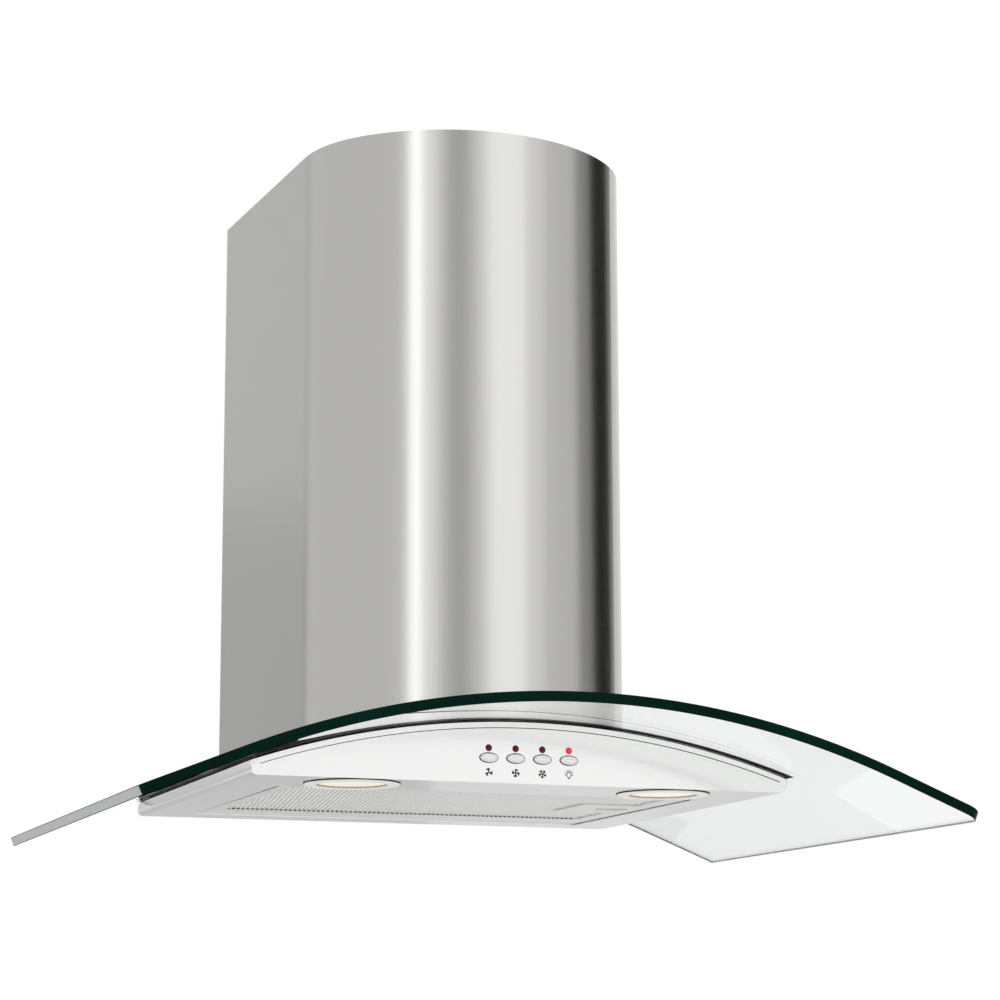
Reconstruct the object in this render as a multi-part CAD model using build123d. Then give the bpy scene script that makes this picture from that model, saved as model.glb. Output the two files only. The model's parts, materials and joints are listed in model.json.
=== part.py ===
"""Curved glass range hood: millimetres, +Z up, front towards -Y, the wall is the plane y = 0.

The origin is the centre of the four wall screws in the back of the motor box.
"""
from build123d import *
import math
import os

os.makedirs("parts", exist_ok=True)

# ---------------------------------------------------------------- driving sizes

# Clearances
SEAT_GAP = 0.3            # between curved pieces that rest on each other
PRESS_GAP = 0.05          # radial, bush in its pocket and hub on its shaft
RUNNING_GAP = 0.05        # radial, shaft in its bearing
SLIDING_GAP = 0.15        # around a slider or button
OVERCUT = 1.0             # how far a cut runs past the face it opens

# Glass canopy
GLASS_WIDTH = 600
GLASS_FRONT = 442         # front edge to the wall
GLASS_BACK = 2            # back edge to the wall
GLASS_THICKNESS = 7
GLASS_RADIUS = 631        # upper face, middle part
GLASS_ARC_HALF = 233.5    # where the arc runs out into the straight wings
GLASS_CORNER = 12         # front corners, seen from above
NOTCH_CORNER = 10
NOTCH_GAP = 4             # around the motor box

# Canopy body
BODY_WIDTH = 400
BODY_DEPTH = 336
SHEET = 1.0
BODY_EDGE = 4             # outside radius of the two side bends
LIP_HEIGHT = 3.8
LIP_PROUD = 1.0
GASKET_THICKNESS = 3.1
GASKET_WIDTH = 8
GASKET_INSET = 1
HEM_WIDTH = 5
BODY_HEIGHT = 40.7        # bottom plane to the top of the arched plate, at the middle

# Glass clamps
CLAMP_X = 110
CLAMP_BACK = 60
CLAMP_PITCH = 125
CLAMP_SCREW = 2.0
CLAMP_DISC = 9
CLAMP_WASHER = 1.5
GLASS_HOLE = 5
NUT_THICKNESS = 3.2
HEAD_HEIGHT = 2.5

# Motor box
WALL_SCREWS_HEIGHT = 180  # above the body's bottom plane
WALL_SCREWS_X = 160
WALL_SCREWS_Z = 150
WALL_SCREW_HOLE = 4.0
BOX_WIDTH = 196
BOX_DEPTH = 215
BOX_HEIGHT = 300          # its top, above the body's bottom plane
BOX_SHEET = 1.2
BOX_FLANGE = 12
BOX_SCREW = 2.0
BOX_SCREW_BACK = 50
BOX_SCREW_PITCH = 120
INTAKE_MARGIN = 4         # top plate inside the foot flanges

# Blower
BLOWER_FRONT_GAP = 15.8   # scroll to the motor box's cover
BLOWER_HEIGHT = 160       # axis above the body's bottom plane
IMPELLER_RADIUS = 65
BLADE_DEPTH = 11
IMPELLER_WIDTH = 90
IMPELLER_SHEET = 1.5
BLADE_COUNT = 32
BLADE_THICKNESS = 1.0
BLADE_LEAD = 8            # degrees that a blade's outer edge leads its inner edge
BLADE_MIDDLE_LEAD = 2     # the same at the middle of the blade
HUB_RADIUS = 9
HUB_LENGTH = 14
SHAFT_RADIUS = 4
SHAFT_OVERHANG = 1.5      # past the hub
SHAFT_SHORT = 1           # behind the motor's outer face
SCROLL_WALL = 2
TONGUE_GAP = 7            # impeller to the scroll's tongue
SCROLL_GROWTH = 8         # of the scroll's radius, per quarter turn
SCROLL_MOUTH = 90         # top of the mouth above the axis
SCROLL_FLANGE = 8
INLET_LIP = 7
INLET_GAP = 3             # lip to the impeller's rim
MOTOR_RADIUS = 36
MOTOR_START = 6           # from the middle plane
MOTOR_PROUD = 3           # outside the scroll
MOTOR_CORE_BORE = 5
MOTOR_EDGE = 4
BEARING_RADIUS = 8
BEARING_LENGTH = 8
BRACKET_ARM = 12
BRACKET_PLATE = 2.4
BRACKET_REACH = 16        # arm past the inlet's edge
BRACKET_SCREW = 8         # screw past the inlet's edge

# Outlet
OUTLET_AHEAD = 22         # outlet's centre in front of the blower's axis
COLLAR_RADIUS = 74.5
COLLAR_WALL = 2
COLLAR_HEIGHT = 45
COLLAR_FLANGE = 10.5      # plate past the collar
COLLAR_SHEET = 2
COLLAR_SCREW = 1.8
COLLAR_SCREW_EDGE = 7     # screws inside the plate's edge
ADAPTER_WALL = 2
ADAPTER_EDGE = 6          # adapter's plate past the same screws
ADAPTER_CORNER = 10
FLAP_STOP_HEIGHT = 10     # top of the stop rim above the motor box
FLAP_STOP_THICKNESS = 2
FLAP_STOP_WIDTH = 4.5
FLAP_GAP = 0.8            # flap to the collar's bore
FLAP_SHEET = 1.5
FLAP_PIN = 1.5
FLAP_LAP = 1              # sheet that runs into the knuckle
KNUCKLE_RADIUS = 3.0
KNUCKLE_GAP = 0.5         # knuckle to the flap's straight edge
KNUCKLE_LENGTH = 12
KNUCKLE_NEAR = 8          # collar centre to the nearer knuckle
KNUCKLE_FAR = 44

# Chimney
CHIMNEY_HEIGHT = 436      # above the top of the glass
CHIMNEY_HALF_WIDTH = 135  # at the wall
CHIMNEY_DEPTH = 299
CHIMNEY_TAPER = 2.74      # degrees, each flank
CHIMNEY_SHOULDER = 96
CHIMNEY_NOSE = 136.5
CHIMNEY_SHEET = 1.0
CHIMNEY_RETURN = 14
UPPER_GAP = 0.6           # between the two chimneys
UPPER_LENGTH = 400
UPPER_SUNK = 3            # top of the upper chimney below the top of the lower one
STAY_WIDTH = 30
STAY_HEIGHT = 20
STAY_BACK = 10
STAY_SHEET = 1.5
BRACKET_HOLE = 3.0
BRACKET_HOLES_X = 160
BRACKET_HEIGHT = 25
BRACKET_SHEET = 1.5
BRACKET_LEG = 30
BRACKET_DROP = 8          # its top below the top of the upper chimney

# Lamps
LAMP_X = 118
LAMP_BACK = 36            # centre to the front panel
LAMP_RING = 33.5
LAMP_PROUD = 1.4
LAMP_NECK = 26.5
LAMP_LENS = 25
LENS_RECESS = 1.4         # inside the ring's face
LENS_DOME = 0.8
LENS_THICKNESS = 2.5
LAMP_DEPTH = 17
LAMP_WALL = 1.5
LAMP_FOOT = 1.5           # holder's foot around the neck, on the sheet
BULB_RADIUS = 6
BULB_NECK = 4
BULB_GAP = 1              # lens to bulb
HOLDER_BLOCK_X = 18
HOLDER_BLOCK_Y = 14

# Controls
BUTTON_PITCH = 20
BUTTON_COUNT = 4
BUTTON_WIDTH = 13.1
BUTTON_TALL = 6.4
BUTTON_HEIGHT = 17.4      # centre above the body's bottom plane
BUTTON_PROUD = 2.2
BUTTON_TRAVEL = 1.8
BUTTON_FLANGE = 1.0       # flange around the cap, behind the panel
BUTTON_FLANGE_THICKNESS = 1.2
BUTTON_ROUND = 0.9
STEM_WIDTH = 5
STEM_TALL = 3
STEM_LENGTH = 16
SWITCH_WIDTH = 9
SWITCH_TALL = 8
SWITCH_LENGTH = 11
SWITCH_WALL = 2
LIGHT_RADIUS = 2.3
LIGHT_HEIGHT = 24.3
LIGHT_PROUD = 1.2
LIGHT_DOME = 1.8
HOUSING_WIDTH = 92
HOUSING_LOW = 5
HOUSING_HIGH = 33
HOUSING_FRONT = 5         # behind the inside of the front panel
HOUSING_DEPTH = 22
HOUSING_WALL = 1.5
HOUSING_EDGE = 2
BOARD_THICKNESS = 1.6
POST_RADIUS = 3

# Filter
FILTER_WIDTH = 320
FILTER_DEPTH = 234
FILTER_FRONT = 265        # front edge to the wall
FILTER_THICKNESS = 9
FILTER_MARGIN = 14        # frame around the mesh, sides and front
FILTER_BACK_MARGIN = 36
FILTER_WALL = 1.0
FILTER_RECESS = 1.3
FILTER_SIDE_GAP = 1.8
FILTER_END_GAP = 1.0
MESH_SHEET = 0.9
PLEAT_PITCH = 12
PLEAT_SHEET = 0.8
TAB_WIDTH = 24
TAB_REACH = 6.5
TAB_PITCH = 110
FRAME_LAP = 1             # pocket floor that runs under the frame's margin
LATCH_POCKET_X = 58
LATCH_POCKET_Y = 60
LATCH_LENGTH = 35
LATCH_WIDTH = 26
LATCH_THICKNESS = 3
LATCH_TRAVEL = 6
TONGUE_LENGTH = 7
TONGUE_WIDTH = 16
TONGUE_THICKNESS = 2
LATCH_RAIL = 1.5
THUMB_WINDOW = 26
THUMB_RADIUS = 10
THUMB_DEPTH = 2
TONGUE_LAP = 1            # tongue that runs into the slider

# Electrics
CAPACITOR_RADIUS = 15
CAPACITOR_LENGTH = 45
CAPACITOR_FRONT = 30      # its axis behind the front of the motor box
CAPACITOR_EDGE = 2
TAG_PITCH = 8
TAG_WIDTH = 2
TAG_DEPTH = 4
TAG_HEIGHT = 8
CLIP_SHEET = 1.5
CLIP_HEIGHT = 15
TERMINAL_X = 26
TERMINAL_Y = 60
TERMINAL_Z = 50
TERMINAL_WALL = 2
TERMINAL_FRONT = 12       # behind the front of the motor box
TERMINAL_TOP = 32         # below the top of the motor box
TERMINAL_BLOCK = 8        # height of the block that the wires are screwed to
GLAND_X = 75
GLAND_Y = 20
GLAND_THREAD = 7.5
GLAND_NUT = 11
GLAND_NUT_HEIGHT = 5
GLAND_TAIL = 8            # thread inside the motor box
GLAND_NOSE = 12
GLAND_TIP = 5.5
GLAND_BORE = 3.5

# ---------------------------------------------------------------- derived places

BOTTOM = -WALL_SCREWS_HEIGHT
PANEL_Y = -BODY_DEPTH
PLATE_RADIUS = GLASS_RADIUS - GLASS_THICKNESS - GASKET_THICKNESS - 2 * SEAT_GAP
PLATE_UNDER = PLATE_RADIUS - SHEET
ARCH_CENTRE = BOTTOM + BODY_HEIGHT - PLATE_RADIUS
GLASS_TOP = ARCH_CENTRE + GLASS_RADIUS
GLASS_UNDER = GLASS_RADIUS - GLASS_THICKNESS
WING_ANGLE = math.asin(GLASS_ARC_HALF / GLASS_RADIUS)
BOX_TOP = BOTTOM + BOX_HEIGHT
BOX_HALF = BOX_WIDTH / 2
AXIS_Z = BOTTOM + BLOWER_HEIGHT
BLADE_INNER = IMPELLER_RADIUS - BLADE_DEPTH
INLET_RADIUS = BLADE_INNER
SCROLL_START = IMPELLER_RADIUS + TONGUE_GAP
SCROLL_WIDTH = IMPELLER_WIDTH + 2 * (INLET_GAP + INLET_LIP + SCROLL_WALL)
SCROLL_OUT_Z = AXIS_Z + SCROLL_MOUTH
SCROLL_FRONT_Y = -BOX_DEPTH + BOX_SHEET + BLOWER_FRONT_GAP + SCROLL_WALL
BLOWER_Y = SCROLL_FRONT_Y + SCROLL_START + 3 * SCROLL_GROWTH
MOTOR_END = SCROLL_WIDTH / 2 + MOTOR_PROUD
OUTLET_Y = BLOWER_Y - OUTLET_AHEAD
COLLAR_BORE = COLLAR_RADIUS - COLLAR_WALL
COLLAR_PLATE = 2 * (COLLAR_RADIUS + COLLAR_FLANGE)
COLLAR_SCREW_PITCH = COLLAR_PLATE - 2 * COLLAR_SCREW_EDGE
ADAPTER_PLATE = COLLAR_SCREW_PITCH + 2 * ADAPTER_EDGE
FLAP_RADIUS = COLLAR_BORE - FLAP_GAP
CHIMNEY_TOP = GLASS_TOP + CHIMNEY_HEIGHT
HEM_TOP = BOTTOM + 2 * SHEET
FILTER_LOW = BOTTOM + FILTER_RECESS
FILTER_HALF = FILTER_WIDTH / 2
FILTER_Y = -FILTER_FRONT + FILTER_DEPTH / 2
FILTER_BACK_Y = -FILTER_FRONT + FILTER_DEPTH
LATCH_Y = (-FILTER_FRONT + FILTER_MARGIN + FILTER_BACK_Y - FILTER_BACK_MARGIN) / 2
FLAP_LEVEL = BOX_TOP + FLAP_STOP_HEIGHT + SEAT_GAP
PIN_Z = FLAP_LEVEL + FLAP_PIN
BUTTON_X = [BUTTON_PITCH * (i - (BUTTON_COUNT - 1) / 2) for i in range(BUTTON_COUNT)]
LAMP_Y = PANEL_Y + LAMP_BACK
LOW = (Align.CENTER, Align.CENTER, Align.MIN)


# ---------------------------------------------------------------- helpers

def slab(x_low, x_high, y_low, y_high, z_low, z_high):
    """Box between two corners."""
    centre = ((x_low + x_high) / 2, (y_low + y_high) / 2, (z_low + z_high) / 2)
    return Pos(*centre) * Box(x_high - x_low, y_high - y_low, z_high - z_low)


def rod(radius, start, end):
    """Round bar between two points."""
    axis = Vector(*end) - Vector(*start)
    return Plane(origin=start, z_dir=axis) * Cylinder(radius, axis.length, align=LOW)


def ring(outer, inner, z_low, z_high, x=0, y=0):
    """Upright ring."""
    height = z_high - z_low
    return Pos(x, y, z_low) * (Cylinder(outer, height, align=LOW) - Cylinder(inner, height, align=LOW))


def along_y(outline, y_back, y_front):
    """Extrude an outline drawn in X and Z from y_back towards the front."""
    plane = Plane(origin=(0, y_back, 0), x_dir=(1, 0, 0), z_dir=(0, -1, 0))
    return extrude(plane * outline, amount=y_back - y_front)


def along_x(outline, x_low, x_high):
    """Extrude an outline drawn in Y and Z."""
    plane = Plane(origin=(x_low, 0, 0), x_dir=(0, 1, 0), z_dir=(1, 0, 0))
    return extrude(plane * outline, amount=x_high - x_low)


def upright(outline, z_low, z_high):
    """Extrude an outline drawn in X and Y."""
    return extrude(Pos(0, 0, z_low) * outline, amount=z_high - z_low)


def arch_point(radius, x):
    """Point of an arc about the arch's centre, in X and Z."""
    return (x, ARCH_CENTRE + math.sqrt(radius**2 - x**2))


def arch_strip(low_radius, high_radius, half_width):
    """Outline between two arcs of the arch."""
    low = [arch_point(low_radius, x) for x in (-half_width, 0, half_width)]
    high = [arch_point(high_radius, x) for x in (half_width, 0, -half_width)]
    edges = ThreePointArc(*low) + Line(low[2], high[0]) + ThreePointArc(*high) + Line(high[2], low[0])
    return make_face(edges)


def arch_cylinder(radius, y_back, y_front):
    """Everything below an arc of the arch."""
    return along_y(Pos(0, ARCH_CENTRE) * Circle(radius), y_back, y_front)


def on_arch(x, y):
    """Place whose Z axis leaves the arch square to it at x."""
    lean = math.degrees(math.asin(x / GLASS_RADIUS))
    return Pos(0, y, ARCH_CENTRE) * Rot(0, lean, 0)


def arch_disc(x, y, radius, low_radius, high_radius):
    """Disc or pin square to the arch, between two of its radii."""
    return on_arch(x, y) * Pos(0, 0, low_radius) * Cylinder(radius, high_radius - low_radius, align=LOW)


def screw(radius, start, end, head=HEAD_HEIGHT):
    """Pan-head screw: the shank runs from start to end, the head sits behind start."""
    start, end = Vector(*start), Vector(*end)
    back = start - (end - start).normalized() * head
    return rod(radius, start, end) + rod(2 * radius, back, start)


def group(pieces):
    """Separate solids that share one node."""
    return Compound(children=list(pieces))


def save(name, piece):
    """Write one node."""
    piece.label = name
    export_step(piece, f"parts/{name}.step")


# ---------------------------------------------------------------- canopy body

def body_outline(inset, roof_radius):
    """Cross-section of the body, its sides and floor moved in by inset."""
    half = BODY_WIDTH / 2 - inset
    floor = BOTTOM + inset
    roof = [arch_point(roof_radius, x) for x in (half, 0, -half)]
    edges = Polyline(roof[2], (-half, floor), (half, floor), roof[0]) + ThreePointArc(*roof)
    outline = make_face(edges)
    floor_corners = outline.vertices().sort_by(Axis.Y)[:2]
    return fillet(floor_corners, BODY_EDGE - inset)


def filter_opening(extra, z_low, z_high):
    """The opening around the filter, widened by extra."""
    half = FILTER_HALF + FILTER_SIDE_GAP + extra
    front = -FILTER_FRONT - FILTER_END_GAP - extra
    back = FILTER_BACK_Y + FILTER_END_GAP + extra
    return slab(-half, half, front, back, z_low, z_high)


def make_canopy_body():
    inner_radius = PLATE_UNDER + BODY_EDGE
    body = along_y(body_outline(0, PLATE_UNDER - SEAT_GAP), 0, PANEL_Y)
    body -= along_y(body_outline(SHEET, inner_radius), -SHEET, PANEL_Y + SHEET)
    body += filter_opening(HEM_WIDTH, BOTTOM + SHEET / 2, HEM_TOP)
    body -= filter_opening(0, BOTTOM - OVERCUT, HEM_TOP + OVERCUT)
    for side in (-1, 1):
        centre = (side * LAMP_X, LAMP_Y)
        neck_hole = LAMP_NECK + SLIDING_GAP
        body -= rod(neck_hole, (*centre, BOTTOM - OVERCUT), (*centre, BOTTOM + SHEET + OVERCUT))
    cut_front, cut_back = PANEL_Y - OVERCUT, PANEL_Y + SHEET + OVERCUT
    light_z = BOTTOM + LIGHT_HEIGHT
    for x in BUTTON_X:
        panel_hole = Pos(x, BOTTOM + BUTTON_HEIGHT) * button_ellipse(SLIDING_GAP)
        body -= along_y(panel_hole, cut_back, cut_front)
        body -= rod(LIGHT_RADIUS + SLIDING_GAP, (x, cut_front, light_z), (x, cut_back, light_z))
    return body


def intake_opening(z_low, z_high):
    """The air's way through the top plate, inside the motor box's flanges."""
    inset = BOX_FLANGE + INTAKE_MARGIN
    half = BOX_HALF - inset
    return slab(-half, half, -BOX_DEPTH + inset, -inset, z_low, z_high)


def clamp_spots():
    """Places of the four glass clamps."""
    return [(x, -CLAMP_BACK - y) for x in (-CLAMP_X, CLAMP_X) for y in (0, CLAMP_PITCH)]


def box_screw_spots():
    """Places of the four screws through the motor box's foot flanges."""
    x = BOX_HALF - BOX_FLANGE / 2
    return [(side * x, -BOX_SCREW_BACK - y) for side in (-1, 1) for y in (0, BOX_SCREW_PITCH)]


def make_top_plate():
    half = BODY_WIDTH / 2
    plate = along_y(arch_strip(PLATE_UNDER, PLATE_RADIUS, half), 0, PANEL_Y)
    lip_outline = arch_strip(PLATE_RADIUS - LIP_HEIGHT, PLATE_RADIUS, half)
    plate += along_y(lip_outline, PANEL_Y, PANEL_Y - LIP_PROUD)
    plate -= intake_opening(BOTTOM, GLASS_TOP)
    for x, y in clamp_spots():
        plate -= arch_disc(x, y, CLAMP_SCREW + SLIDING_GAP, PLATE_UNDER - SHEET, PLATE_RADIUS + SHEET)
    for x, y in box_screw_spots():
        plate -= arch_disc(x, y, BOX_SCREW + SLIDING_GAP, PLATE_UNDER - SHEET, PLATE_RADIUS + SHEET)
    return plate


def make_gasket():
    low = PLATE_RADIUS + SEAT_GAP
    high = low + GASKET_THICKNESS
    half = BODY_WIDTH / 2 - GASKET_INSET
    front = PANEL_Y + GASKET_INSET
    seal = along_y(arch_strip(low, high, half), -GLASS_BACK - GASKET_INSET, front)
    inner = half - GASKET_WIDTH
    seal -= slab(-inner, inner, front + GASKET_WIDTH, -GLASS_BACK - GASKET_WIDTH, BOTTOM, GLASS_TOP)
    seal -= glass_notch(BOTTOM, GLASS_TOP)
    return seal


# ---------------------------------------------------------------- glass

def glass_notch(z_low, z_high):
    """The notch in the glass's back edge that the motor box stands in."""
    half = BOX_HALF + NOTCH_GAP
    depth = BOX_DEPTH + NOTCH_GAP + NOTCH_CORNER
    outline = Pos(0, -depth / 2 + NOTCH_CORNER) * RectangleRounded(2 * half, depth, NOTCH_CORNER)
    return upright(outline, z_low, z_high)


def make_glass():
    sine, cosine = math.sin(WING_ANGLE), math.cos(WING_ANGLE)
    half = GLASS_WIDTH / 2
    edge_z = ARCH_CENTRE + GLASS_RADIUS * cosine - math.tan(WING_ANGLE) * (half - GLASS_ARC_HALF)
    under_half = GLASS_UNDER * sine
    under_z = ARCH_CENTRE + GLASS_UNDER * cosine
    tip_x = half - GLASS_THICKNESS * sine
    tip_z = edge_z - GLASS_THICKNESS * cosine
    top = [arch_point(GLASS_RADIUS, x) for x in (-GLASS_ARC_HALF, 0, GLASS_ARC_HALF)]
    edges = Line((-half, edge_z), top[0])
    edges += ThreePointArc(*top)
    edges += Polyline(top[2], (half, edge_z), (tip_x, tip_z), (under_half, under_z))
    edges += ThreePointArc((under_half, under_z), arch_point(GLASS_UNDER, 0), (-under_half, under_z))
    edges += Polyline((-under_half, under_z), (-tip_x, tip_z), (-half, edge_z))
    glass = along_y(make_face(edges), -GLASS_BACK, -GLASS_FRONT)
    corner_reach = 4 * GLASS_CORNER
    plan = Pos(0, -GLASS_FRONT / 2 + corner_reach) * RectangleRounded(
        GLASS_WIDTH, GLASS_FRONT + 2 * corner_reach, GLASS_CORNER)
    glass &= upright(plan, BOTTOM - GLASS_FRONT, GLASS_TOP + GLASS_THICKNESS)
    glass -= glass_notch(BOTTOM, GLASS_TOP + GLASS_THICKNESS)
    for x, y in clamp_spots():
        glass -= arch_disc(x, y, GLASS_HOLE, GLASS_UNDER - SHEET, GLASS_RADIUS + SHEET)
    return glass


def make_clamps():
    """Pads under the glass, washers on it, screws through both and nuts under the top plate."""
    washer_low = GLASS_RADIUS + SEAT_GAP
    washer_high = washer_low + CLAMP_WASHER
    nut_top = PLATE_UNDER - SEAT_GAP
    pad_low = PLATE_RADIUS + SEAT_GAP
    bore = CLAMP_SCREW + SLIDING_GAP
    pads, washers, screws, nuts = [], [], [], []
    for x, y in clamp_spots():
        hole = arch_disc(x, y, bore, PLATE_UNDER - 2 * NUT_THICKNESS, washer_high + HEAD_HEIGHT)
        pads.append(arch_disc(x, y, CLAMP_DISC, pad_low, pad_low + GASKET_THICKNESS) - hole)
        washers.append(arch_disc(x, y, CLAMP_DISC, washer_low, washer_high) - hole)
        shank = arch_disc(x, y, CLAMP_SCREW, nut_top - NUT_THICKNESS, washer_high)
        screws.append(shank + arch_disc(x, y, 2 * CLAMP_SCREW, washer_high, washer_high + HEAD_HEIGHT))
        hexagon = extrude(RegularPolygon(2 * CLAMP_SCREW, 6), amount=NUT_THICKNESS)
        nuts.append(on_arch(x, y) * Pos(0, 0, nut_top - NUT_THICKNESS) * hexagon - hole)
    return pads, washers, screws, nuts


# ---------------------------------------------------------------- motor box

def make_motor_box():
    cover_back = -BOX_DEPTH + BOX_SHEET
    inner = BOX_HALF - BOX_SHEET
    foot = PLATE_RADIUS + SEAT_GAP
    box = slab(-BOX_HALF, BOX_HALF, cover_back, 0, BOTTOM, BOX_TOP)
    box -= slab(-inner, inner, cover_back + BOX_SHEET, -BOX_SHEET, BOTTOM, BOX_TOP - BOX_SHEET)
    window = BOX_HALF - BOX_FLANGE
    window_front = cover_back - BOX_SHEET
    box -= slab(-window, window, window_front, -BOX_DEPTH / 2, BOTTOM, BOX_TOP - BOX_FLANGE)
    box -= arch_cylinder(foot, BOX_SHEET, -BOX_DEPTH - BOX_SHEET)
    flanges = along_y(arch_strip(foot, foot + BOX_SHEET, BOX_HALF), 0, cover_back)
    box += flanges - slab(-window, window, window_front, BOX_SHEET, BOTTOM, BOX_TOP)
    for x in (-WALL_SCREWS_X / 2, WALL_SCREWS_X / 2):
        for z in (-WALL_SCREWS_Z / 2, WALL_SCREWS_Z / 2):
            box -= rod(WALL_SCREW_HOLE, (x, BOX_SHEET, z), (x, -2 * BOX_SHEET, z))
    for x, y in box_screw_spots():
        box -= arch_disc(x, y, BOX_SCREW + SLIDING_GAP, foot - SHEET, foot + 2 * BOX_SHEET)
    below = BOX_TOP - 2 * BOX_SHEET
    above = BOX_TOP + BOX_SHEET
    box -= rod(COLLAR_BORE, (0, OUTLET_Y, below), (0, OUTLET_Y, above))
    box -= rod(GLAND_THREAD + SLIDING_GAP, (GLAND_X, -GLAND_Y, below), (GLAND_X, -GLAND_Y, above))
    for x, y in collar_screw_spots():
        box -= rod(COLLAR_SCREW + SLIDING_GAP, (x, y, below), (x, y, above))
    for x, z in cover_screw_spots():
        box -= rod(BOX_SCREW + SLIDING_GAP, (x, cover_back + 2 * BOX_SHEET, z), (x, -BOX_DEPTH, z))
    return box


def cover_screw_spots():
    """Places of the cover's four screws, in X and Z."""
    x = BOX_HALF - BOX_FLANGE / 2
    low = GLASS_TOP + 2 * BOX_FLANGE
    high = BOX_TOP - 2 * BOX_FLANGE
    return [(-x, low), (x, low), (-x, high), (x, high)]


def make_box_cover():
    back = -BOX_DEPTH + BOX_SHEET
    cover = slab(-BOX_HALF, BOX_HALF, -BOX_DEPTH, back, BOTTOM, BOX_TOP)
    cover -= arch_cylinder(PLATE_RADIUS + SEAT_GAP, 0, -BOX_DEPTH - BOX_SHEET)
    for x, z in cover_screw_spots():
        cover -= rod(BOX_SCREW + SLIDING_GAP, (x, back + BOX_SHEET, z), (x, -BOX_DEPTH - BOX_SHEET, z))
    return cover


def make_cover_screws():
    tip = -BOX_DEPTH + 4 * BOX_SHEET
    return [screw(BOX_SCREW, (x, -BOX_DEPTH, z), (x, tip, z)) for x, z in cover_screw_spots()]


def make_box_screws():
    """Screws through the foot flanges into the top plate, each with its nut."""
    flange_top = PLATE_RADIUS + SEAT_GAP + BOX_SHEET + SEAT_GAP
    nut_top = PLATE_UNDER - SEAT_GAP
    screws = []
    for x, y in box_screw_spots():
        shank = arch_disc(x, y, BOX_SCREW, nut_top - NUT_THICKNESS, flange_top)
        head = arch_disc(x, y, 2 * BOX_SCREW, flange_top, flange_top + HEAD_HEIGHT)
        nut = arch_disc(x, y, 2 * BOX_SCREW, nut_top - NUT_THICKNESS, nut_top)
        screws.append(shank + head + nut)
    return screws


# ---------------------------------------------------------------- blower

def scroll_outline(extra):
    """Air space of the scroll in Y and Z, its wall moved out by extra.

    Three quarter arcs of growing radius run from the tongue over the back and the
    bottom to the front, and a straight mouth goes up from there.
    """
    first = SCROLL_START + extra
    second = first + SCROLL_GROWTH
    third = second + SCROLL_GROWTH
    y1, z1 = BLOWER_Y, AXIS_Z
    y2, z2 = y1 - SCROLL_GROWTH, z1
    y3, z3 = y2, z2 + SCROLL_GROWTH
    tongue = (y1 + extra, z1 + math.sqrt(first**2 - extra**2))
    middle = math.radians(45)
    back = (y1 + first, z1)
    bottom = (y2, z2 - second)
    front = (y3 - third, z3)
    edges = Polyline((front[0], SCROLL_OUT_Z), (tongue[0], SCROLL_OUT_Z), tongue)
    arc_top = (y1 + first * math.cos(middle), z1 + first * math.sin(middle))
    arc_back = (y2 + second * math.cos(middle), z2 - second * math.sin(middle))
    arc_bottom = (y3 - third * math.cos(middle), z3 - third * math.sin(middle))
    edges += ThreePointArc(tongue, arc_top, back)
    edges += ThreePointArc(back, arc_back, bottom)
    edges += ThreePointArc(bottom, arc_bottom, front)
    edges += Line(front, (front[0], SCROLL_OUT_Z))
    return make_face(edges)


def mouth_centre_y():
    """Middle of the scroll's mouth."""
    return (SCROLL_FRONT_Y + BLOWER_Y) / 2


def mouth_depth():
    """Front to back size of the scroll's mouth, inside."""
    return BLOWER_Y - SCROLL_FRONT_Y


def make_scroll_half(side):
    """One half of the scroll; side is -1 for the left and 1 for the right."""
    half = SCROLL_WIDTH / 2
    wall = along_x(scroll_outline(SCROLL_WALL), min(0, side * half), max(0, side * half))
    room = half - SCROLL_WALL
    wall -= along_x(scroll_outline(0), min(0, side * room), max(0, side * room))
    flange_x = half + SCROLL_FLANGE
    flange_y = mouth_depth() / 2 + SCROLL_WALL + SCROLL_FLANGE
    centre = mouth_centre_y()
    flange_low = SCROLL_OUT_Z - SCROLL_WALL
    flange = slab(min(0, side * flange_x), max(0, side * flange_x), centre - flange_y, centre + flange_y,
                  flange_low, SCROLL_OUT_Z)
    mouth = mouth_depth() / 2
    flange -= slab(-room, room, centre - mouth, centre + mouth, flange_low - OVERCUT,
                   SCROLL_OUT_Z + OVERCUT)
    wall += flange
    axis = [(side * x, BLOWER_Y, AXIS_Z) for x in (room - INLET_LIP, half, half + SCROLL_WALL)]
    lip = rod(INLET_RADIUS + SCROLL_WALL, axis[0], axis[1])
    wall += lip
    wall -= rod(INLET_RADIUS, (side * MOTOR_START, BLOWER_Y, AXIS_Z), axis[2])
    if side > 0:
        for y, z in bracket_screw_spots():
            wall -= rod(BOX_SCREW + SLIDING_GAP, (room - SCROLL_WALL, y, z), (half + SCROLL_WALL, y, z))
    return wall


def bracket_angles():
    """Directions of the motor bracket's three arms."""
    return [math.radians(90 + 120 * i) for i in range(3)]


def bracket_screw_spots():
    """Places of the bracket's screws, in Y and Z."""
    reach = INLET_RADIUS + BRACKET_SCREW
    return [(BLOWER_Y + reach * math.cos(a), AXIS_Z + reach * math.sin(a)) for a in bracket_angles()]


def blower_frame(x):
    """Plane across the blower's axis at x, so that what is drawn upright lies along X."""
    return Plane(origin=(x, BLOWER_Y, AXIS_Z), x_dir=(0, 1, 0), z_dir=(1, 0, 0))


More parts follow.
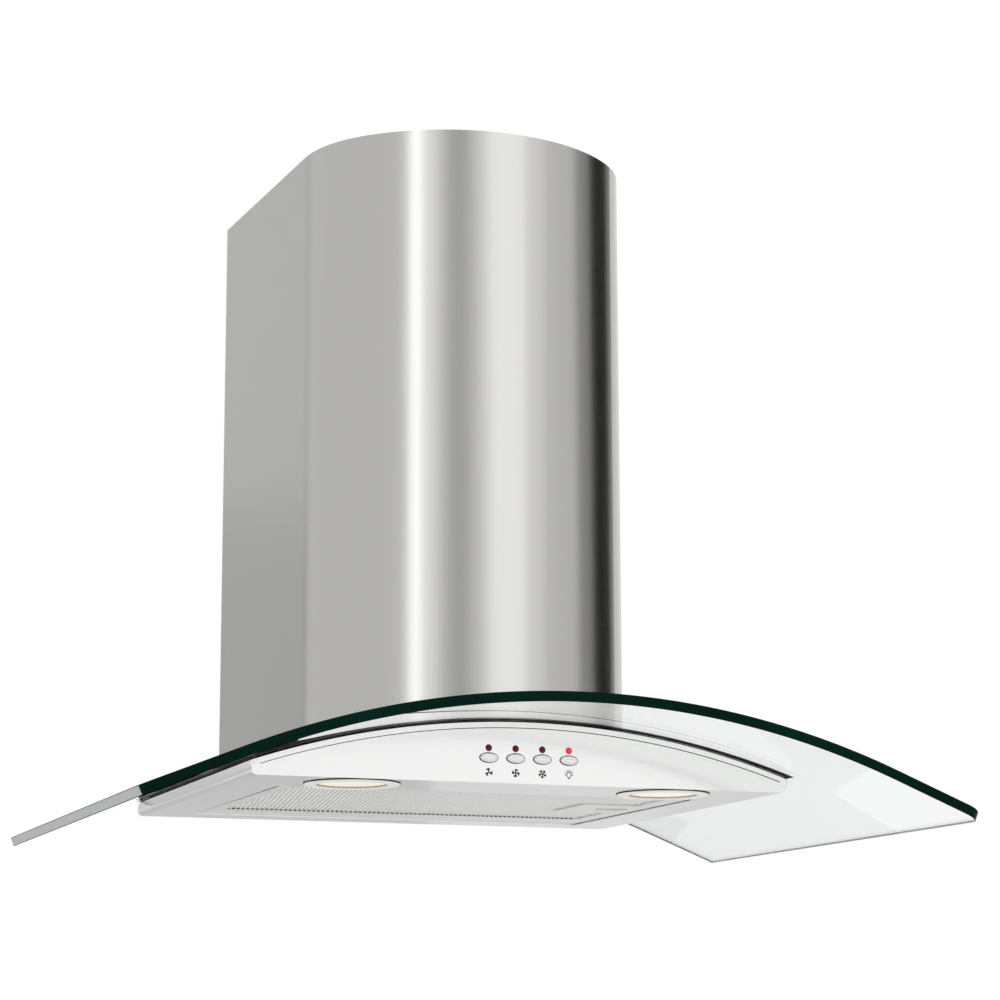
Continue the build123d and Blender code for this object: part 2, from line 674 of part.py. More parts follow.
def blade_outline():
    """One forward-curved blade seen along the axis."""
    half_angle = math.degrees(BLADE_THICKNESS / 2 / IMPELLER_RADIUS)
    radii = (BLADE_INNER, (BLADE_INNER + IMPELLER_RADIUS) / 2, IMPELLER_RADIUS)
    leads = (0, BLADE_MIDDLE_LEAD, BLADE_LEAD)

    def face_points(offset):
        angles = [math.radians(lead + offset) for lead in leads]
        return [(r * math.cos(a), r * math.sin(a)) for r, a in zip(radii, angles)]

    near = face_points(-half_angle)
    far = face_points(half_angle)
    edges = ThreePointArc(*near) + Line(near[2], far[2]) + ThreePointArc(*far) + Line(far[0], near[0])
    return make_face(edges)


def make_impeller():
    half = IMPELLER_WIDTH / 2
    sheet = IMPELLER_SHEET
    margin = BLADE_THICKNESS / 2
    wheel = Pos(0, 0, -sheet / 2) * Cylinder(IMPELLER_RADIUS + margin, sheet, align=LOW)
    wheel += Pos(0, 0, sheet / 2 - HUB_LENGTH) * Cylinder(HUB_RADIUS, HUB_LENGTH, align=LOW)
    blade = Pos(0, 0, -half) * extrude(blade_outline(), amount=IMPELLER_WIDTH)
    step = 360 / BLADE_COUNT
    blades = [Rot(0, 0, step * i) * blade for i in range(BLADE_COUNT)]
    rims = [ring(IMPELLER_RADIUS + margin, BLADE_INNER - margin, z, z + sheet) for z in (-half, half - sheet)]
    wheel = wheel.fuse(*blades, *rims)
    wheel -= Cylinder(SHAFT_RADIUS + PRESS_GAP, 4 * HUB_LENGTH)
    return blower_frame(0) * wheel


def make_shaft():
    start = IMPELLER_SHEET / 2 - HUB_LENGTH - SHAFT_OVERHANG
    return rod(SHAFT_RADIUS, (start, BLOWER_Y, AXIS_Z), (MOTOR_END - SHAFT_SHORT, BLOWER_Y, AXIS_Z))


def make_motor():
    length = MOTOR_END - MOTOR_START
    motor = Cylinder(MOTOR_RADIUS, length, align=LOW)
    motor = fillet(motor.edges().filter_by(GeomType.CIRCLE), MOTOR_EDGE)
    motor -= Cylinder(MOTOR_CORE_BORE, length, align=LOW)
    pocket = Cylinder(BEARING_RADIUS, BEARING_LENGTH, align=LOW)
    motor -= pocket
    motor -= Pos(0, 0, length - BEARING_LENGTH) * pocket
    return blower_frame(MOTOR_START) * motor


def make_bearings():
    outer = BEARING_RADIUS - PRESS_GAP
    inner = SHAFT_RADIUS + RUNNING_GAP
    starts = (MOTOR_START, MOTOR_END - BEARING_LENGTH)
    return [blower_frame(x) * ring(outer, inner, 0, BEARING_LENGTH) for x in starts]


def make_motor_bracket():
    start = SCROLL_WIDTH / 2
    sheet = BRACKET_PLATE
    inner = MOTOR_RADIUS + SEAT_GAP
    band = ring(inner + sheet, inner, -2 * sheet, sheet)
    arms = []
    for angle in bracket_angles():
        arm = slab(inner + sheet / 2, INLET_RADIUS + BRACKET_REACH, -BRACKET_ARM / 2, BRACKET_ARM / 2,
                   0, sheet)
        arm -= Pos(INLET_RADIUS + BRACKET_SCREW, 0, 0) * Cylinder(BOX_SCREW + SLIDING_GAP, 4 * sheet)
        arms.append(Rot(0, 0, math.degrees(angle)) * arm)
    return blower_frame(start) * band.fuse(*arms)


def make_bracket_screws():
    face = SCROLL_WIDTH / 2 + BRACKET_PLATE
    tip = SCROLL_WIDTH / 2 - 2 * SCROLL_WALL
    return [screw(BOX_SCREW, (face, y, z), (tip, y, z)) for y, z in bracket_screw_spots()]


# ---------------------------------------------------------------- outlet

def make_outlet_adapter():
    """Leads the air from the scroll's square mouth into the round outlet."""
    low = SCROLL_OUT_Z + ADAPTER_WALL
    high = BOX_TOP - BOX_SHEET - ADAPTER_WALL
    room_x = SCROLL_WIDTH - 2 * SCROLL_WALL
    room_y = mouth_depth()
    centre = mouth_centre_y()

    def mouth(extra):
        corner = ADAPTER_CORNER + extra
        return Pos(0, centre) * RectangleRounded(room_x + 2 * extra, room_y + 2 * extra, corner)

    def passage(extra):
        outlet = Pos(0, OUTLET_Y, high) * Circle(COLLAR_BORE + extra)
        return loft([Pos(0, 0, low) * mouth(extra), outlet])

    shell = passage(ADAPTER_WALL) - passage(0)
    flange_x = SCROLL_WIDTH / 2 + SCROLL_FLANGE
    flange_y = room_y / 2 + SCROLL_WALL + SCROLL_FLANGE
    foot = slab(-flange_x, flange_x, centre - flange_y, centre + flange_y, SCROLL_OUT_Z, low)
    foot -= upright(mouth(0), SCROLL_OUT_Z, low)
    half = ADAPTER_PLATE / 2
    top = slab(-half, half, OUTLET_Y - half, OUTLET_Y + half, high, high + ADAPTER_WALL)
    top -= rod(COLLAR_BORE, (0, OUTLET_Y, high), (0, OUTLET_Y, high + ADAPTER_WALL))
    for x, y in collar_screw_spots():
        top -= rod(COLLAR_SCREW + SLIDING_GAP, (x, y, high - OVERCUT), (x, y, BOX_TOP))
    return foot + shell + top


def collar_screw_spots():
    """Places of the collar's four screws."""
    half = COLLAR_SCREW_PITCH / 2
    return [(x, OUTLET_Y + y) for x in (-half, half) for y in (-half, half)]


def make_outlet_collar():
    half = COLLAR_PLATE / 2
    high = BOX_TOP + COLLAR_SHEET
    stop_high = BOX_TOP + FLAP_STOP_HEIGHT
    collar = slab(-half, half, OUTLET_Y - half, OUTLET_Y + half, BOX_TOP, high)
    collar += rod(COLLAR_RADIUS, (0, OUTLET_Y, BOX_TOP), (0, OUTLET_Y, BOX_TOP + COLLAR_HEIGHT))
    collar_end = BOX_TOP + COLLAR_HEIGHT + OVERCUT
    collar -= rod(COLLAR_BORE, (0, OUTLET_Y, BOX_TOP - OVERCUT), (0, OUTLET_Y, collar_end))
    rim_low = stop_high - FLAP_STOP_THICKNESS
    rim_inner = COLLAR_BORE - FLAP_STOP_WIDTH
    collar += ring(COLLAR_BORE + COLLAR_WALL / 2, rim_inner, rim_low, stop_high, y=OUTLET_Y)
    pin_room = FLAP_PIN + RUNNING_GAP
    reach = COLLAR_RADIUS + COLLAR_WALL
    collar -= rod(pin_room, (0, OUTLET_Y - reach, PIN_Z), (0, OUTLET_Y + reach, PIN_Z))
    for x, y in collar_screw_spots():
        collar -= rod(COLLAR_SCREW + SLIDING_GAP, (x, y, BOX_TOP - OVERCUT), (x, y, high + OVERCUT))
    return collar


def make_collar_screws():
    high = BOX_TOP + COLLAR_SHEET
    tip = BOX_TOP - BOX_SHEET - 2 * ADAPTER_WALL
    return [screw(COLLAR_SCREW, (x, y, high), (x, y, tip)) for x, y in collar_screw_spots()]


def make_damper_pin():
    reach = COLLAR_RADIUS - SEAT_GAP
    return rod(FLAP_PIN, (0, OUTLET_Y - reach, PIN_Z), (0, OUTLET_Y + reach, PIN_Z))


def make_flap(side):
    """Half-moon flap; side is -1 for the left and 1 for the right."""
    edge = KNUCKLE_RADIUS + KNUCKLE_GAP
    reach = FLAP_RADIUS + OVERCUT
    top = FLAP_LEVEL + FLAP_SHEET
    disc = rod(FLAP_RADIUS, (0, OUTLET_Y, FLAP_LEVEL), (0, OUTLET_Y, top))
    half_space = slab(min(side * edge, side * reach), max(side * edge, side * reach),
                      OUTLET_Y - reach, OUTLET_Y + reach, FLAP_LEVEL, top)
    flap = disc & half_space
    places = (-KNUCKLE_FAR - KNUCKLE_LENGTH, KNUCKLE_NEAR)
    for place in places:
        low = side * place
        high = side * (place + KNUCKLE_LENGTH)
        y_low, y_high = OUTLET_Y + min(low, high), OUTLET_Y + max(low, high)
        flap += rod(KNUCKLE_RADIUS, (0, y_low, PIN_Z), (0, y_high, PIN_Z))
        lap = side * (edge + FLAP_LAP)
        flap += slab(min(0, lap), max(0, lap), y_low, y_high, FLAP_LEVEL, top)
    flap -= rod(FLAP_PIN + RUNNING_GAP, (0, OUTLET_Y - reach, PIN_Z), (0, OUTLET_Y + reach, PIN_Z))
    return flap


# ---------------------------------------------------------------- electrics in the motor box

def make_capacitor():
    """Capacitor and the clip that holds it to the motor box's left side."""
    wall_x = -BOX_HALF + BOX_SHEET
    band_inner = CAPACITOR_RADIUS + SEAT_GAP
    band_outer = band_inner + CLIP_SHEET
    x = wall_x + CLIP_SHEET + band_outer
    y = -BOX_DEPTH + CAPACITOR_FRONT
    low = AXIS_Z - CAPACITOR_LENGTH / 2
    can = Pos(x, y, low) * Cylinder(CAPACITOR_RADIUS, CAPACITOR_LENGTH, align=LOW)
    can = fillet(can.edges().filter_by(GeomType.CIRCLE), CAPACITOR_EDGE)
    tag_low = low + CAPACITOR_LENGTH
    for tag_x in (x - TAG_PITCH / 2, x + TAG_PITCH / 2):
        can += slab(tag_x - TAG_WIDTH / 2, tag_x + TAG_WIDTH / 2, y - TAG_DEPTH / 2, y + TAG_DEPTH / 2,
                    tag_low, tag_low + TAG_HEIGHT)
    clip_low = AXIS_Z - CLIP_HEIGHT / 2
    clip_high = AXIS_Z + CLIP_HEIGHT / 2
    clip = ring(band_outer, band_inner, clip_low, clip_high, x, y)
    clip += slab(wall_x, wall_x + 2 * CLIP_SHEET, y - band_outer, y + band_outer, clip_low, clip_high)
    clip -= Pos(x, y, clip_low) * Cylinder(band_inner, clip_high - clip_low, align=LOW)
    return can, clip


def make_terminal_box():
    """Terminal box on the motor box's right side, and its lid."""
    wall = BOX_HALF - BOX_SHEET
    x_low = wall - TERMINAL_X
    y_low = -BOX_DEPTH + TERMINAL_FRONT
    y_high = y_low + TERMINAL_Y
    z_high = BOX_TOP - TERMINAL_TOP
    z_low = z_high - TERMINAL_Z
    skin = TERMINAL_WALL
    box = slab(x_low, wall, y_low, y_high, z_low, z_high)
    box -= slab(x_low, wall - skin, y_low + skin, y_high - skin, z_low + skin, z_high - skin)
    block_z = (z_low + z_high) / 2
    box += slab(wall - TERMINAL_X / 2, wall - skin / 2, y_low + 4 * skin, y_high - 4 * skin,
                block_z - TERMINAL_BLOCK / 2, block_z + TERMINAL_BLOCK / 2)
    lid = slab(x_low - skin, x_low, y_low, y_high, z_low, z_high)
    lid = fillet(lid.edges().filter_by(Axis.X), skin)
    return box, lid


def make_cable_gland():
    """Gland for the mains cord, through the top of the motor box."""
    x, y = GLAND_X, -GLAND_Y
    below = BOX_TOP - BOX_SHEET
    tail = below - GLAND_TAIL
    nose = BOX_TOP + GLAND_NUT_HEIGHT
    hexagon = extrude(RegularPolygon(GLAND_NUT, 6), amount=GLAND_NUT_HEIGHT)
    gland = rod(GLAND_THREAD, (x, y, tail), (x, y, nose))
    gland += Pos(x, y, BOX_TOP) * hexagon
    gland += Pos(x, y, below - GLAND_NUT_HEIGHT) * hexagon
    gland += Pos(x, y, nose) * Cone(GLAND_THREAD + SHEET, GLAND_TIP, GLAND_NOSE, align=LOW)
    gland -= rod(GLAND_BORE, (x, y, tail - OVERCUT), (x, y, nose + GLAND_NOSE + OVERCUT))
    return gland


# ---------------------------------------------------------------- chimney

def chimney_points(inset):
    """Points of the left half of the chimney's plan, moved in by inset.

    Returns the flank's end, the shoulder's middle and end, and the nose.
    """
    taper = math.radians(CHIMNEY_TAPER)
    wall_point = Vector(-CHIMNEY_HALF_WIDTH, 0)
    inward = Vector(math.cos(taper), math.sin(taper))
    forward = Vector(math.sin(taper), -math.cos(taper))
    nose_centre = Vector(0, -CHIMNEY_DEPTH + CHIMNEY_NOSE)
    start = wall_point + inward * CHIMNEY_SHOULDER - nose_centre
    along = start.dot(forward)
    reach = -along + math.sqrt(along**2 - start.dot(start) + (CHIMNEY_NOSE - CHIMNEY_SHOULDER)**2)
    shoulder_centre = wall_point + inward * CHIMNEY_SHOULDER + forward * reach
    outward = (shoulder_centre - nose_centre).normalized()
    middle = (outward - inward).normalized()
    flank_end = wall_point + forward * reach + inward * inset
    shoulder_middle = shoulder_centre + middle * (CHIMNEY_SHOULDER - inset)
    shoulder_end = nose_centre + outward * (CHIMNEY_NOSE - inset)
    return flank_end, shoulder_middle, shoulder_end, Vector(0, -CHIMNEY_DEPTH + inset)


def flank_x(y, inset):
    """Half width of the chimney at y, on its flank."""
    taper = math.radians(CHIMNEY_TAPER)
    return CHIMNEY_HALF_WIDTH + y * math.tan(taper) - inset / math.cos(taper)


def chimney_outline(inset, y_back):
    """Closed plan of the chimney, moved in by inset and cut off at y_back."""
    flank, middle, end, nose = chimney_points(inset)
    back = flank_x(y_back, inset)
    left = [(p.X, p.Y) for p in (flank, middle, end)]
    right = [(-x, y) for x, y in reversed(left)]
    edges = Line((-back, y_back), left[0]) + ThreePointArc(*left)
    edges += ThreePointArc(left[2], (nose.X, nose.Y), right[0])
    edges += ThreePointArc(*right) + Polyline(right[2], (back, y_back), (-back, y_back))
    return make_face(edges)


def chimney_shell(inset, y_back, z_low, z_high):
    """Sheet wrapped around the plan, open at the back between two narrow returns."""
    outer = chimney_outline(inset, y_back)
    inner = chimney_outline(inset + CHIMNEY_SHEET, y_back - CHIMNEY_SHEET)
    shell = upright(outer, z_low, z_high) - upright(inner, z_low, z_high)
    gap = flank_x(y_back, inset) - CHIMNEY_RETURN
    return shell - slab(-gap, gap, y_back - 2 * CHIMNEY_SHEET, y_back + OVERCUT, z_low, z_high)


def make_chimney_lower():
    shell = chimney_shell(0, 0, BOTTOM, CHIMNEY_TOP)
    return shell - arch_cylinder(GLASS_RADIUS + SEAT_GAP, OVERCUT, -CHIMNEY_DEPTH - OVERCUT)


def upper_top():
    """Top of the upper chimney, pushed down."""
    return CHIMNEY_TOP - UPPER_SUNK


def make_chimney_upper():
    high = upper_top()
    inset = CHIMNEY_SHEET + UPPER_GAP
    return chimney_shell(inset, -inset, high - UPPER_LENGTH, high)


def make_stay(side):
    """Angle that carries the chimney's flank at the motor box; the upper chimney stands on it."""
    high = upper_top() - UPPER_LENGTH - SEAT_GAP
    low = high - STAY_HEIGHT
    reach = CHIMNEY_SHEET + SEAT_GAP + STAY_SHEET / 2
    front = -STAY_BACK - STAY_WIDTH
    inner = BOX_HALF + STAY_SHEET / 2
    path = Polyline((inner, front), (inner, -STAY_BACK), (flank_x(-STAY_BACK, reach), -STAY_BACK),
                    (flank_x(front, reach), front))
    stay = upright(trace(path, STAY_SHEET), low, high)
    return stay if side > 0 else mirror(stay, about=Plane.YZ)


def make_chimney_bracket():
    """Wall strip at the top of the upper chimney, with a leg along each flank."""
    high = upper_top() - BRACKET_DROP
    low = high - BRACKET_HEIGHT
    inset = 2 * CHIMNEY_SHEET + UPPER_GAP + SEAT_GAP + BRACKET_SHEET / 2
    step = CHIMNEY_SHEET * 2 + UPPER_GAP + 2 * SEAT_GAP + BRACKET_SHEET
    half_wall = flank_x(0, inset) - CHIMNEY_RETURN - 4 * BRACKET_SHEET
    wall_y = -BRACKET_SHEET / 2
    front = -BRACKET_LEG - step
    right = [(half_wall, wall_y), (half_wall, -step), (flank_x(-step, inset), -step),
             (flank_x(front, inset), front)]
    left = [(-x, y) for x, y in reversed(right)]
    bracket = upright(trace(Polyline(*left, *right), BRACKET_SHEET), low, high)
    middle = (low + high) / 2
    for x in (-BRACKET_HOLES_X / 2, BRACKET_HOLES_X / 2):
        bracket -= rod(BRACKET_HOLE, (x, BRACKET_SHEET, middle), (x, -2 * BRACKET_SHEET, middle))
    return bracket


# ---------------------------------------------------------------- lamps

def make_lamp(side):
    """Ring, lens, holder and bulb of one lamp."""
    x, y = side * LAMP_X, LAMP_Y
    low = BOTTOM - LAMP_PROUD
    sheet_top = BOTTOM + SHEET
    neck_top = sheet_top + SEAT_GAP
    bezel = Pos(x, y, low) * Cylinder(LAMP_RING, LAMP_PROUD, align=LOW)
    bezel = chamfer(bezel.edges().group_by(Axis.Z)[0], LAMP_PROUD / 2)
    bezel += rod(LAMP_NECK, (x, y, BOTTOM), (x, y, neck_top + LAMP_WALL))
    lens_room = neck_top + LAMP_WALL + OVERCUT
    bezel -= rod(LAMP_LENS + SLIDING_GAP, (x, y, low - OVERCUT), (x, y, lens_room))
    lens_low = low + LENS_RECESS
    lens_high = lens_low + LENS_THICKNESS
    lens = rod(LAMP_LENS, (x, y, lens_low), (x, y, lens_high))
    cap_radius = (LAMP_LENS**2 + LENS_DOME**2) / (2 * LENS_DOME)
    dome = Pos(x, y, lens_low + cap_radius - LENS_DOME) * Sphere(cap_radius)
    lens += dome & rod(LAMP_LENS, (x, y, lens_low - LENS_DOME), (x, y, lens_high))
    holder_low = neck_top + LAMP_WALL
    holder_high = BOTTOM + LAMP_DEPTH
    holder = rod(LAMP_NECK, (x, y, holder_low), (x, y, holder_high))
    holder += rod(LAMP_NECK + LAMP_FOOT, (x, y, sheet_top), (x, y, holder_low + LAMP_WALL))
    holder -= rod(LAMP_NECK + SLIDING_GAP, (x, y, sheet_top - OVERCUT), (x, y, holder_low))
    holder -= rod(LAMP_NECK - LAMP_WALL, (x, y, holder_low - OVERCUT), (x, y, holder_high - LAMP_WALL))
    bulb_high = holder_high - 4 * LAMP_WALL
    block_x, block_y = HOLDER_BLOCK_X / 2, HOLDER_BLOCK_Y / 2
    holder += slab(x - block_x, x + block_x, y - block_y, y + block_y, bulb_high, holder_high - LAMP_WALL / 2)
    bulb_low = lens_high + BULB_GAP
    bulb = Pos(x, y, bulb_low + BULB_RADIUS / 2) * Sphere(BULB_RADIUS)
    bulb &= rod(2 * BULB_RADIUS, (x, y, bulb_low), (x, y, bulb_high))
    bulb += rod(BULB_NECK, (x, y, bulb_low + BULB_RADIUS / 2), (x, y, bulb_high))
    return bezel, lens, holder, bulb


# ---------------------------------------------------------------- controls

def button_ellipse(extra):
    """Face of a button, grown by extra."""
    return Ellipse(BUTTON_WIDTH / 2 + extra, BUTTON_TALL / 2 + extra)


def button_back_y():
    """Back of a button's flange."""
    return PANEL_Y + SHEET + SEAT_GAP + BUTTON_FLANGE_THICKNESS


def make_button(x):
    z = BOTTOM + BUTTON_HEIGHT
    flange_front = PANEL_Y + SHEET + SEAT_GAP
    cap = along_y(Pos(x, z) * button_ellipse(0), flange_front, PANEL_Y - BUTTON_PROUD)
    cap = fillet(cap.edges().group_by(Axis.Y)[0], BUTTON_ROUND)
    cap += along_y(Pos(x, z) * button_ellipse(BUTTON_FLANGE), button_back_y(), flange_front)
    stem = slab(x - STEM_WIDTH / 2, x + STEM_WIDTH / 2, flange_front, flange_front + STEM_LENGTH,
                z - STEM_TALL / 2, z + STEM_TALL / 2)
    return cap + stem


def housing_front_y():
    """Front face of the control housing."""
    return PANEL_Y + SHEET + HOUSING_FRONT


def board_front_y():
    """Front face of the control board."""
    return housing_front_y() + HOUSING_DEPTH - HOUSING_WALL - BOARD_THICKNESS


def stem_hole(x, y_low, y_high, z):
    """Room for a button's stem."""
    half_x = STEM_WIDTH / 2 + SLIDING_GAP
    half_z = STEM_TALL / 2 + SLIDING_GAP
    return slab(x - half_x, x + half_x, y_low, y_high, z - half_z, z + half_z)


def make_control_housing():
    front = housing_front_y()
    back = front + HOUSING_DEPTH
    half = HOUSING_WIDTH / 2
    low, high = BOTTOM + HOUSING_LOW, BOTTOM + HOUSING_HIGH
    wall = HOUSING_WALL
    housing = slab(-half, half, front, back, low, high)
    housing = fillet(housing.edges().filter_by(Axis.Y), HOUSING_EDGE)
    housing -= slab(-half + wall, half - wall, front + wall, back, low + wall, high - wall)
    button_z = BOTTOM + BUTTON_HEIGHT
    light_z = BOTTOM + LIGHT_HEIGHT
    cut_front, cut_back = front - OVERCUT, front + wall + OVERCUT
    for x in BUTTON_X:
        housing -= stem_hole(x, cut_front, cut_back, button_z)
        housing -= rod(LIGHT_RADIUS + SLIDING_GAP, (x, cut_front, light_z), (x, cut_back, light_z))
    for side in (-1, 1):
        post = (side * (half - POST_RADIUS), (low + high) / 2)
        housing += rod(POST_RADIUS, (post[0], PANEL_Y + SHEET, post[1]), (post[0], front, post[1]))
        ledge = side * (half - wall)
        inner = ledge - side * 2 * wall
        housing += slab(min(ledge, inner), max(ledge, inner), front + wall / 2, board_front_y(), low, high)
    return housing


def make_control_board():
    half = HOUSING_WIDTH / 2 - HOUSING_WALL - SEAT_GAP
    low = BOTTOM + HOUSING_LOW + HOUSING_WALL + SEAT_GAP
    high = BOTTOM + HOUSING_HIGH - HOUSING_WALL - SEAT_GAP
    front = board_front_y()
    return slab(-half, half, front, front + BOARD_THICKNESS, low, high)


def make_switch(x):
    z = BOTTOM + BUTTON_HEIGHT
    back = board_front_y()
    front = back - SWITCH_LENGTH
    body = slab(x - SWITCH_WIDTH / 2, x + SWITCH_WIDTH / 2, front, back, z - SWITCH_TALL / 2,
                z + SWITCH_TALL / 2)
    return body - stem_hole(x, front - OVERCUT, back - SWITCH_WALL, z)


def make_light(x):
    z = BOTTOM + LIGHT_HEIGHT
    light = rod(LIGHT_RADIUS, (x, PANEL_Y - LIGHT_PROUD, z), (x, board_front_y(), z))
    front_edge = light.edges().group_by(Axis.Y)[0]
    return fillet(front_edge, LIGHT_DOME)


# ---------------------------------------------------------------- filter

def pocket_room():
    """Plan of the latch pocket: x_low, x_high, y_low, y_high."""
    half = LATCH_POCKET_Y / 2
    return FILTER_HALF - LATCH_POCKET_X, FILTER_HALF, LATCH_Y - half, LATCH_Y + half


def latch_rest_x():
    """Inner end of the latch slider at rest."""
    return FILTER_HALF - 2 * FILTER_WALL - LATCH_LENGTH


def make_filter_frame():
    low, high = FILTER_LOW, FILTER_LOW + FILTER_THICKNESS
    front, back = -FILTER_FRONT, FILTER_BACK_Y
    wall, margin = FILTER_WALL, FILTER_MARGIN
    frame = slab(-FILTER_HALF, FILTER_HALF, front, back, low, high)
    cavity = slab(-FILTER_HALF + wall, FILTER_HALF - wall, front + wall, back - wall, low + wall, high - wall)
    window = slab(-FILTER_HALF + margin, FILTER_HALF - margin, front + margin, back - FILTER_BACK_MARGIN,
                  low, high)
    x_low, x_high, y_low, y_high = pocket_room()
    pocket = slab(x_low, x_high - margin + FRAME_LAP, y_low, y_high, low, high)
    frame = frame - window + pocket - cavity
    inner_wall = slab(x_low, x_low + wall, y_low, y_high, low, high)
    inner_wall += slab(x_low, x_high, y_low, y_low + wall, low, high)
    inner_wall += slab(x_low, x_high, y_high - wall, y_high, low, high)
    frame += inner_wall
    slider_half = LATCH_WIDTH / 2 + SLIDING_GAP
    rail_top = low + wall + SEAT_GAP + LATCH_THICKNESS
    for side in (-1, 1):
        rail = sorted((LATCH_Y + side * slider_half, LATCH_Y + side * (slider_half + LATCH_RAIL)))
        frame += slab(x_low + wall, FILTER_HALF - wall, *rail, low + wall / 2, rail_top)
    window_x = latch_rest_x() + LATCH_LENGTH / 2 - LATCH_TRAVEL / 2
    slot_outline = Pos(window_x, LATCH_Y) * SlotOverall(THUMB_WINDOW, 2 * THUMB_RADIUS)
    frame -= upright(slot_outline, low - OVERCUT, low + wall)
    tongue_half = TONGUE_WIDTH / 2 + SLIDING_GAP
    tongue_low = low + wall
    frame -= slab(FILTER_HALF - 2 * wall, FILTER_HALF + OVERCUT, LATCH_Y - tongue_half,
                  LATCH_Y + tongue_half, tongue_low, tongue_low + TONGUE_THICKNESS + 2 * SEAT_GAP)
    tab_low = HEM_TOP + SEAT_GAP
    for y in (-TAB_PITCH / 2, TAB_PITCH / 2):
        centre = FILTER_Y + y
        frame += slab(-FILTER_HALF - TAB_REACH, -FILTER_HALF + wall, centre - TAB_WIDTH / 2,
                      centre + TAB_WIDTH / 2, tab_low, tab_low + wall)
    return frame


def mesh_room(z_low, z_high):
    """Room inside the filter frame, without the latch pocket."""
    wall = FILTER_WALL + SEAT_GAP
    room = slab(-FILTER_HALF + wall, FILTER_HALF - wall, -FILTER_FRONT + wall, FILTER_BACK_Y - wall,
                z_low, z_high)
    x_low, x_high, y_low, y_high = pocket_room()
    return room - slab(x_low - SEAT_GAP, x_high, y_low - SEAT_GAP, y_high + SEAT_GAP, z_low, z_high)


def make_filter_layers():
    """Lower mesh sheet, pleated core and upper mesh sheet."""
    low = FILTER_LOW + FILTER_WALL
    high = FILTER_LOW + FILTER_THICKNESS - FILTER_WALL
    lower = mesh_room(low, low + MESH_SHEET)
    upper = mesh_room(high - MESH_SHEET, high)
    valley = low + MESH_SHEET
    crest = high - MESH_SHEET - PLEAT_SHEET
    half = FILTER_HALF - FILTER_WALL - SEAT_GAP
    count = int(2 * half / PLEAT_PITCH)
    start = -count * PLEAT_PITCH / 2
    steps = range(2 * count + 1)
    line = [(start + i * PLEAT_PITCH / 2, crest if i % 2 else valley) for i in steps]
    raised = [(x, z + PLEAT_SHEET) for x, z in reversed(line)]
    pleats = make_face(Polyline(*line, *raised, line[0]))
    core = along_y(pleats, FILTER_BACK_Y - FILTER_WALL - SEAT_GAP, -FILTER_FRONT + FILTER_WALL + SEAT_GAP)
    core &= mesh_room(valley, high - MESH_SHEET)
    return lower, core, upper


def make_filter_latch():
    low = FILTER_LOW + FILTER_WALL + SEAT_GAP
    inner = latch_rest_x()
    outer = inner + LATCH_LENGTH
    half = LATCH_WIDTH / 2
    latch = slab(inner, outer, LATCH_Y - half, LATCH_Y + half, low, low + LATCH_THICKNESS)
    tongue = TONGUE_WIDTH / 2
    latch += slab(outer - TONGUE_LAP, outer + TONGUE_LENGTH, LATCH_Y - tongue, LATCH_Y + tongue,
                  low, low + TONGUE_THICKNESS)
    dish_radius = (THUMB_RADIUS**2 + THUMB_DEPTH**2) / (2 * THUMB_DEPTH)
    dish_x = inner + LATCH_LENGTH / 2
    latch -= Pos(dish_x, LATCH_Y, low + THUMB_DEPTH - dish_radius) * Sphere(dish_radius)
    return latch


# ---------------------------------------------------------------- the whole hood

def build():
    """Name and piece of every node."""
    pads, washers, clamp_screws, nuts = make_clamps()
    capacitor, capacitor_clip = make_capacitor()
    terminal_box, terminal_lid = make_terminal_box()
    lamps = [make_lamp(side) for side in (-1, 1)]
    bezels, lenses, holders, bulbs = zip(*lamps)
    mesh_lower, core, mesh_upper = make_filter_layers()
    nodes = {
        "canopy_body": make_canopy_body(),
        "top_plate": make_top_plate(),
        "glass_gasket": make_gasket(),
        "glass_canopy": make_glass(),
        "clamp_pads": group(pads),
        "clamp_washers": group(washers),
        "clamp_screws": group(clamp_screws),
        "clamp_nuts": group(nuts),
        "motor_box": make_motor_box(),
        "motor_box_cover": make_box_cover(),
        "cover_screws": group(make_cover_screws()),
        "box_screws": group(make_box_screws()),
        "scroll_left": make_scroll_half(-1),
        "scroll_right": make_scroll_half(1),
        "motor": make_motor(),
        "motor_bearings": group(make_bearings()),
        "motor_bracket": make_motor_bracket(),
        "bracket_screws": group(make_bracket_screws()),
        "impeller": make_impeller(),
        "impeller_shaft": make_shaft(),
        "outlet_adapter": make_outlet_adapter(),
        "outlet_collar": make_outlet_collar(),
        "collar_screws": group(make_collar_screws()),
        "damper_pin": make_damper_pin(),
        "damper_flap_left": make_flap(-1),
        "damper_flap_right": make_flap(1),
        "capacitor": capacitor,
        "capacitor_clip": capacitor_clip,
        "terminal_box": terminal_box,
        "terminal_lid": terminal_lid,
        "cable_gland": make_cable_gland(),
        "chimney_lower": make_chimney_lower(),
        "chimney_upper": make_chimney_upper(),
        "chimney_bracket": make_chimney_bracket(),
        "chimney_stays": group([make_stay(-1), make_stay(1)]),
        "lamp_bezels": group(bezels),
        "lamp_lenses": group(lenses),
        "lamp_holders": group(holders),
        "lamp_bulbs": group(bulbs),
        "control_housing": make_control_housing(),
        "control_board": make_control_board(),
        "push_switches": group([make_switch(x) for x in BUTTON_X]),
        "indicator_lights": group([make_light(x) for x in BUTTON_X[:-1]]),
        "lamp_indicator": make_light(BUTTON_X[-1]),
        "filter_frame": make_filter_frame(),
        "filter_mesh_lower": mesh_lower,
        "filter_core": core,
        "filter_mesh_upper": mesh_upper,
        "filter_latch": make_filter_latch(),
    }
    for number, x in enumerate(BUTTON_X, start=1):
        nodes[f"button_{number}"] = make_button(x)
    return nodes


